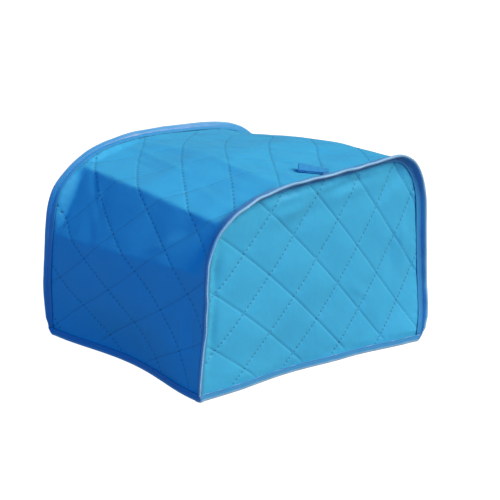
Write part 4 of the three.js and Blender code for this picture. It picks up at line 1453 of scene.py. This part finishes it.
def cloth_material(settings, piece_name, quilting):
    material, tree, shader = new_material(piece_name + "_finish")
    places = flat_places(tree)
    marks = placed_group(tree, needle_marks_group(), {
        "Lattice": flat_places(tree, "lattice"),
        "First Spacing": quilting.first_spacing * MILLIMETRE,
        "Second Spacing": quilting.second_spacing * MILLIMETRE,
        "Stitches": quilting.first_stitches,
        "Stitch Pitch": quilting.first_pitch * MILLIMETRE,
        "Hole Radius": settings.hole_radius_mm * MILLIMETRE,
        "Crease Width": settings.crease_width_mm * MILLIMETRE,
    })
    weave = placed_group(tree, weave_group(), {"Cloth": places, "Yarn Width": settings.yarn_mm * MILLIMETRE})
    base = (*settings.cloth_colour, 1)
    patches = noise(tree, places, 34.0, 3.0)
    fine = noise(tree, places, 260.0, 3.0)
    tone = sums(tree, "ADD", sums(tree, "MULTIPLY", patches, 0.6), sums(tree, "MULTIPLY", fine, 0.4))
    colour = mixed(tree, tone, deeper(base, 0.88), deeper(base, 1.1))
    # Painted shade: the sewn lines' grooves are darkened in the cloth's colour
    lines = sums(tree, "ADD",
                 sums(tree, "MULTIPLY", marks["Dotted Line"], settings.dotted_line_depth),
                 sums(tree, "MULTIPLY", marks["Plain Line"], settings.plain_line_depth), clamp=True)
    colour = mixed(tree, lines, colour, deeper(base, 0.45))
    # Painted shade: the needle holes are darkened in the cloth's colour
    holes = sums(tree, "MULTIPLY", marks["Holes"], settings.hole_shade)
    colour = mixed(tree, holes, colour, deeper(base, 0.3))
    tree.links.new(colour, shader.inputs["Base Color"])
    rough = sums(tree, "ADD", settings.cloth_roughness - 0.05, sums(tree, "MULTIPLY", fine, 0.1))
    tree.links.new(rough, shader.inputs["Roughness"])
    crinkle = sums(tree, "MULTIPLY", noise(tree, places, 120.0, 4.0), 1.8)
    rumple = sums(tree, "MULTIPLY", noise(tree, places, 32.0, 3.0), 5.0)
    woven = sums(tree, "MULTIPLY", weave["Height"], 0.18)
    height = sums(tree, "ADD", woven, sums(tree, "ADD", crinkle, rumple))
    height = sums(tree, "SUBTRACT", height, sums(tree, "MULTIPLY", marks["Holes"], 1.5))
    bumped(tree, shader, height, 0.35, 0.0003)
    shader.inputs["Sheen Weight"].default_value = settings.cloth_sheen
    shader.inputs["Sheen Roughness"].default_value = 0.45
    shader.inputs["Sheen Tint"].default_value = (*settings.sheen_colour, 1)
    shader.inputs["Specular IOR Level"].default_value = 0.22
    return material


def tape_material(settings):
    name = "binding_tape_finish"
    if name in bpy.data.materials:
        return bpy.data.materials[name]
    material, tree, shader = new_material(name)
    places = flat_places(tree)
    weave = placed_group(tree, weave_group(), {"Cloth": places, "Yarn Width": 0.0006, "Slant": 0.7})
    base = (*settings.tape_colour, 1)
    patches = noise(tree, places, 60.0, 3.0)
    woven = sums(tree, "MULTIPLY", weave["Height"], 0.25)
    tone = sums(tree, "ADD", sums(tree, "MULTIPLY", patches, 0.6), woven)
    # Painted highlight: a paler colour on the tape's folded edges, unevenly strong, stands in for light
    # catching them
    fold = tree.nodes.new("ShaderNodeAttribute")
    fold.attribute_name = "fold"
    uneven = sums(tree, "ADD", 0.7, sums(tree, "MULTIPLY", patches, 0.4))
    highlit = sums(tree, "MULTIPLY", fold.outputs["Fac"], uneven)
    colour = mixed(tree, tone, deeper(base, 0.84), deeper(base, 1.14))
    tree.links.new(mixed(tree, highlit, colour, (*settings.fold_highlight_colour, 1)), shader.inputs["Base Color"])
    rough = sums(tree, "ADD", settings.tape_roughness - 0.04, sums(tree, "MULTIPLY", patches, 0.08))
    tree.links.new(rough, shader.inputs["Roughness"])
    crinkle = sums(tree, "MULTIPLY", noise(tree, places, 180.0, 3.0), 1.2)
    height = sums(tree, "ADD", crinkle, sums(tree, "MULTIPLY", weave["Height"], 0.3))
    bumped(tree, shader, height, 0.4, 0.0003)
    shader.inputs["Sheen Weight"].default_value = settings.tape_sheen
    shader.inputs["Sheen Roughness"].default_value = 0.4
    shader.inputs["Sheen Tint"].default_value = (0.75, 0.85, 1, 1)
    shader.inputs["Specular IOR Level"].default_value = 0.35
    return material


def thread_material(name, colour):
    if name in bpy.data.materials:
        return bpy.data.materials[name]
    material, tree, shader = new_material(name)
    places = tree.nodes.new("ShaderNodeTexCoord").outputs["Object"]
    wound = noise(tree, places, 2200.0, 2.0)
    base = (*colour, 1)
    tree.links.new(mixed(tree, wound, deeper(base, 0.8), deeper(base, 1.15)), shader.inputs["Base Color"])
    rough = sums(tree, "ADD", 0.45, sums(tree, "MULTIPLY", wound, 0.15))
    tree.links.new(rough, shader.inputs["Roughness"])
    bumped(tree, shader, wound, 0.3, 0.0001)
    return material


def floor_material(settings):
    material, tree, shader = new_material("studio_floor")
    places = tree.nodes.new("ShaderNodeTexCoord").outputs["Object"]
    grain = noise(tree, places, 40.0, 3.0)
    tree.links.new(mixed(tree, grain, (0.08, 0.08, 0.08, 1), (0.1, 0.1, 0.1, 1)), shader.inputs["Base Color"])
    shader.inputs["Roughness"].default_value = 0.9
    shader.inputs["Specular IOR Level"].default_value = 0.1
    shader.inputs["Emission Color"].default_value = (1, 1, 1, 1)
    seen = tree.nodes.new("ShaderNodeLightPath").outputs["Is Camera Ray"]
    glow = sums(tree, "ADD", settings.floor_bounce, sums(tree, "MULTIPLY", seen, settings.floor_glow))
    tree.links.new(glow, shader.inputs["Emission Strength"])
    return material


# The stage, in metres
FLOOR_HALF_SIZE = 9.0
FLOOR_LEVEL = -0.0006


def studio_floor(settings):
    size = FLOOR_HALF_SIZE
    mesh = bpy.data.meshes.new("floor")
    corners = [(x, y, FLOOR_LEVEL) for x, y in ((-size, -size), (size, -size), (size, size), (-size, size))]
    mesh.from_pydata(corners, [], [(0, 1, 2, 3)])
    floor = add_object("floor", mesh)
    mesh.materials.append(floor_material(settings))


def sun(name, direction, strength, colour, softness):
    """A soft distant light from the given direction, out of the object."""
    data = bpy.data.lights.new(name, "SUN")
    data.energy = strength
    data.color = colour
    data.angle = math.radians(softness)
    lamp = add_object(name, data)
    lamp.location = Vector(direction).normalized() * 2
    lamp.rotation_mode = "QUATERNION"
    lamp.rotation_quaternion = (-Vector(direction)).to_track_quat("-Z", "Y")


def studio_light(settings):
    sun("key_light", settings.key_direction, settings.key_strength, settings.key_colour, 34)
    sun("side_light", settings.side_direction, settings.side_strength, settings.side_colour, 60)
    world = bpy.data.worlds.new("studio")
    world.use_nodes = True
    bpy.context.scene.world = world
    background = world.node_tree.nodes["Background"]
    background.inputs["Color"].default_value = (*settings.fill_colour, 1)
    background.inputs["Strength"].default_value = settings.fill_strength
    bpy.context.scene.view_settings.view_transform = "Standard"
    bpy.context.scene.view_settings.look = "None"
    bpy.context.scene.view_settings.exposure = 0
    bpy.context.scene.view_settings.gamma = 1


def camera(settings):
    azimuth = settings.azimuth
    elevation = settings.elevation
    roll = settings.roll
    back = Vector((math.sin(azimuth) * math.cos(elevation),
                   -math.cos(azimuth) * math.cos(elevation),
                   math.sin(elevation)))
    right = (-back).cross(Vector((0, 0, 1))).normalized()
    top = right.cross(-back)
    rolled_right = math.cos(roll) * right + math.sin(roll) * top
    rolled_top = -math.sin(roll) * right + math.cos(roll) * top
    data = bpy.data.cameras.new("camera")
    data.sensor_width = 36
    data.lens = settings.lens_mm
    data.clip_start = 0.05
    data.clip_end = 60
    view = add_object("camera", data)
    place = Vector(settings.camera_target) + back * settings.camera_distance
    turn = Matrix((rolled_right, rolled_top, back)).transposed().to_4x4()
    view.matrix_world = Matrix.Translation(place) @ turn
    bpy.context.scene.camera = view


# Settings that a user would change
class CoverClothSettings(bpy.types.PropertyGroup):
    """Sizes and colours of the quilted cloth, its tape and its thread."""

    groove_depth_mm: bpy.props.FloatProperty(
        name="Groove depth", description="How deep the plain sewn lines sink, in millimetres",
        default=0.5, min=0, max=2)
    dotted_groove_mm: bpy.props.FloatProperty(
        name="Dotted groove depth", description="How deep the dotted lines sink, in millimetres",
        default=0.2, min=0, max=2)
    puff_mm: bpy.props.FloatProperty(
        name="Puff", description="How far the cloth swells between the lines, in millimetres",
        default=0.45, min=0, max=2)
    hole_depth_mm: bpy.props.FloatProperty(
        name="Needle hole depth", description="How deep the thread pulls in, in millimetres",
        default=0.35, min=0, max=1)
    hole_radius_mm: bpy.props.FloatProperty(
        name="Needle hole radius", description="Size of the dark needle holes, in millimetres",
        default=1.25, min=0, max=2)
    # Painted shade in the needle holes
    hole_shade: bpy.props.FloatProperty(
        name="Needle hole shade", description="How dark the needle holes are", default=0.62, min=0, max=1)
    crease_width_mm: bpy.props.FloatProperty(
        name="Crease width", description="Half width of the darker sewn line, in millimetres",
        default=0.9, min=0, max=3)
    # Painted shade in the grooves of the rising and the falling sewn lines
    dotted_line_depth: bpy.props.FloatProperty(
        name="Dotted line shade", description="How dark the rising lines are", default=0.04, min=0, max=1)
    plain_line_depth: bpy.props.FloatProperty(
        name="Plain line shade", description="How dark the falling lines are", default=0.36, min=0, max=1)
    unevenness_mm: bpy.props.FloatProperty(
        name="Unevenness", description="Soft rises and dips of the cloth, in millimetres",
        default=0.4, min=0, max=2)
    yarn_mm: bpy.props.FloatProperty(
        name="Yarn width", description="Width of one yarn in the cloth, in millimetres",
        default=0.35, min=0.1, max=2)
    thread_lift_mm: bpy.props.FloatProperty(
        name="Thread lift", description="How far a stitch stands out of its groove, in millimetres",
        default=0.05, min=0, max=1)
    thread_width_mm: bpy.props.FloatProperty(
        name="Thread width", description="Thickness of the sewing thread, in millimetres",
        default=0.42, min=0.1, max=2)
    tape_stitch_mm: bpy.props.FloatProperty(
        name="Tape stitch", description="Distance between stitches on the tape, in millimetres",
        default=3.4, min=1, max=10)
    cloth_colour: bpy.props.FloatVectorProperty(
        name="Cloth colour", description="Colour of the quilted cloth", subtype="COLOR",
        default=(0.017, 0.275, 0.55))
    sheen_colour: bpy.props.FloatVectorProperty(
        name="Sheen colour", description="Colour of the cloth's soft shine", subtype="COLOR",
        default=(0.5, 0.95, 1.0))
    cloth_sheen: bpy.props.FloatProperty(
        name="Cloth sheen", description="Strength of the cloth's soft shine", default=0.06, min=0, max=1)
    cloth_roughness: bpy.props.FloatProperty(
        name="Cloth roughness", description="How dull the cloth is", default=0.55, min=0, max=1)
    tape_colour: bpy.props.FloatVectorProperty(
        name="Tape colour", description="Colour of the binding tape", subtype="COLOR",
        default=(0.014, 0.19, 0.46))
    # Painted highlight: the paler colour painted on the tape's folded edges
    fold_highlight_colour: bpy.props.FloatVectorProperty(
        name="Fold colour", description="Colour of the tape's worn folds", subtype="COLOR",
        default=(0.11, 0.33, 0.56))
    tape_sheen: bpy.props.FloatProperty(
        name="Tape sheen", description="Strength of the tape's soft shine", default=0.08, min=0, max=1)
    tape_roughness: bpy.props.FloatProperty(
        name="Tape roughness", description="How dull the tape is", default=0.4, min=0, max=1)
    thread_colour: bpy.props.FloatVectorProperty(
        name="Thread colour", description="Colour of the quilting thread", subtype="COLOR",
        default=(0.012, 0.255, 0.5))
    tape_thread_colour: bpy.props.FloatVectorProperty(
        name="Tape thread colour", description="Colour of the tape's thread", subtype="COLOR",
        default=(0.05, 0.17, 0.5))


class CoverStageSettings(bpy.types.PropertyGroup):
    """The floor, the light and the camera."""

    azimuth: bpy.props.FloatProperty(
        name="Azimuth", description="Camera's turn round the cover", subtype="ANGLE",
        default=math.radians(-47.1586))
    elevation: bpy.props.FloatProperty(
        name="Elevation", description="Camera's angle above the table", subtype="ANGLE",
        default=math.radians(18.0227))
    roll: bpy.props.FloatProperty(
        name="Roll", description="Camera's turn about its own line of sight", subtype="ANGLE",
        default=math.radians(5.3698))
    lens_mm: bpy.props.FloatProperty(
        name="Lens", description="Focal length for a 36 mm wide sensor, in millimetres", default=134.185)
    camera_distance: bpy.props.FloatProperty(
        name="Camera distance", description="From the camera to its target", unit="LENGTH", default=1.8)
    camera_target: bpy.props.FloatVectorProperty(
        name="Camera target", description="The point in the middle of the picture", subtype="XYZ",
        default=(0.0117065, 0.002785, 0.0871248))
    key_direction: bpy.props.FloatVectorProperty(
        name="Key direction", description="Where the main light comes from", subtype="XYZ",
        default=(0.31, -0.68, 0.73))
    key_strength: bpy.props.FloatProperty(
        name="Key strength", description="Strength of the main light", default=9.8)
    key_colour: bpy.props.FloatVectorProperty(
        name="Key colour", description="Colour of the main light", subtype="COLOR", default=(1.0, 0.55, 0.36))
    side_direction: bpy.props.FloatVectorProperty(
        name="Side direction", description="Where the blue side light comes from", subtype="XYZ",
        default=(-0.9, -0.32, 0.04))
    side_strength: bpy.props.FloatProperty(
        name="Side strength", description="Strength of the blue side light", default=2.1)
    side_colour: bpy.props.FloatVectorProperty(
        name="Side colour", description="Colour of the side light", subtype="COLOR", default=(0.0, 0.36, 1.0))
    fill_strength: bpy.props.FloatProperty(
        name="Fill strength", description="Strength of the soft light", default=0.45)
    fill_colour: bpy.props.FloatVectorProperty(
        name="Fill colour", description="Colour of the soft light", subtype="COLOR",
        default=(0.17, 0.56, 1.0))
    floor_glow: bpy.props.FloatProperty(
        name="Floor glow", description="How pale the floor looks to the camera", default=0.95)
    floor_bounce: bpy.props.FloatProperty(
        name="Floor bounce", description="Light that the floor gives off to the cover", default=0.12)


# What each button builds
class PanelsOperator(bpy.types.Operator):
    """Sew the quilted front and back panels"""

    bl_idname = "cover.quilted_panels"
    bl_label = "Quilted panels"

    def execute(self, context):
        settings = context.scene.cover_cloth
        front = quilted_piece(settings, "front_panel_cloth", FRONT_CLOTH, "front_panel")
        back = quilted_piece(settings, "back_panel_cloth", BACK_CLOTH, "back_panel")
        return {"FINISHED"}


class GussetOperator(bpy.types.Operator):
    """Sew the quilted strip over the sides and the top"""

    bl_idname = "cover.quilted_gusset"
    bl_label = "Quilted gusset"

    def execute(self, context):
        settings = context.scene.cover_cloth
        gusset = quilted_piece(settings, "gusset_cloth", GUSSET_CLOTH, "gusset")
        return {"FINISHED"}


class SeamBindingsOperator(bpy.types.Operator):
    """Fold the tape round the front and back seams"""

    bl_idname = "cover.seam_bindings"
    bl_label = "Seam bindings"

    def execute(self, context):
        settings = context.scene.cover_cloth
        seam_binding(settings, "front_seam_tape", -1.0, "front_seam_binding")
        seam_binding(settings, "back_seam_tape", 1.0, "back_seam_binding")
        return {"FINISHED"}


class HemBindingOperator(bpy.types.Operator):
    """Fold the tape round the hem"""

    bl_idname = "cover.hem_binding"
    bl_label = "Hem binding"

    def execute(self, context):
        hem_binding(context.scene.cover_cloth)
        return {"FINISHED"}


class TopTabOperator(bpy.types.Operator):
    """Sew the folded tab on the top"""

    bl_idname = "cover.top_tab"
    bl_label = "Top tab"

    def execute(self, context):
        top_tab(context.scene.cover_cloth)
        return {"FINISHED"}


class StitchesOperator(bpy.types.Operator):
    """Lay the thread of the quilting, the seams and the hem"""

    bl_idname = "cover.thread_stitches"
    bl_label = "Stitches"

    def execute(self, context):
        settings = context.scene.cover_cloth
        tree = stitch_tree()
        quilting_thread = thread_material("quilting_thread_finish", settings.thread_colour)
        tape_thread = thread_material("tape_thread_finish", settings.tape_thread_colour)
        cloth_pieces = (
            ("front_panel_stitches", cloth_stitches(settings, FRONT_CLOTH)),
            ("back_panel_stitches", cloth_stitches(settings, BACK_CLOTH)),
            ("gusset_stitches", cloth_stitches(settings, GUSSET_CLOTH)),
        )
        tape_pieces = (
            ("front_seam_stitches", seam_tape_stitches(settings, -1.0)),
            ("back_seam_stitches", seam_tape_stitches(settings, 1.0)),
            ("hem_stitches", hem_tape_stitches(settings)),
        )
        width = settings.thread_width_mm
        for name, places in cloth_pieces:
            stitched_piece(name, "quilted_cloth", tree, *places, CLOTH_STITCH_LENGTH, width, quilting_thread)
        for name, places in tape_pieces:
            stitched_piece(name, "binding_tape", tree, *places, TAPE_STITCH_LENGTH, width, tape_thread)
        return {"FINISHED"}


class StageOperator(bpy.types.Operator):
    """Set up the pale floor, the soft light and the camera"""

    bl_idname = "cover.stage"
    bl_label = "Stage"

    def execute(self, context):
        settings = context.scene.cover_stage
        studio_floor(settings)
        studio_light(settings)
        camera(settings)
        return {"FINISHED"}


class CoverPanel(bpy.types.Panel):
    """Lists what can be built, and the sizes and colours"""

    bl_idname = "VIEW3D_PT_toaster_cover"
    bl_label = "Toaster Cover"
    bl_space_type = "VIEW_3D"
    bl_region_type = "UI"
    bl_category = "Toaster Cover"

    def draw(self, context):
        for operator in OPERATORS:
            self.layout.operator(operator.bl_idname)
        for group in (context.scene.cover_cloth, context.scene.cover_stage):
            box = self.layout.box()
            for name in group.__annotations__:
                box.prop(group, name)


OPERATORS = (StageOperator, PanelsOperator, GussetOperator, SeamBindingsOperator, HemBindingOperator,
             TopTabOperator, StitchesOperator)
CLASSES = (CoverClothSettings, CoverStageSettings, *OPERATORS, CoverPanel)


def register():
    for item in CLASSES:
        bpy.utils.register_class(item)
    bpy.types.Scene.cover_cloth = bpy.props.PointerProperty(type=CoverClothSettings)
    bpy.types.Scene.cover_stage = bpy.props.PointerProperty(type=CoverStageSettings)


def unregister():
    del bpy.types.Scene.cover_stage
    del bpy.types.Scene.cover_cloth
    for item in reversed(CLASSES):
        bpy.utils.unregister_class(item)


def main():
    register()
    bpy.ops.cover.stage()
    bpy.ops.cover.quilted_panels()
    bpy.ops.cover.quilted_gusset()
    bpy.ops.cover.seam_bindings()
    bpy.ops.cover.hem_binding()
    bpy.ops.cover.top_tab()
    bpy.ops.cover.thread_stitches()


if __name__ == "__main__":
    main()
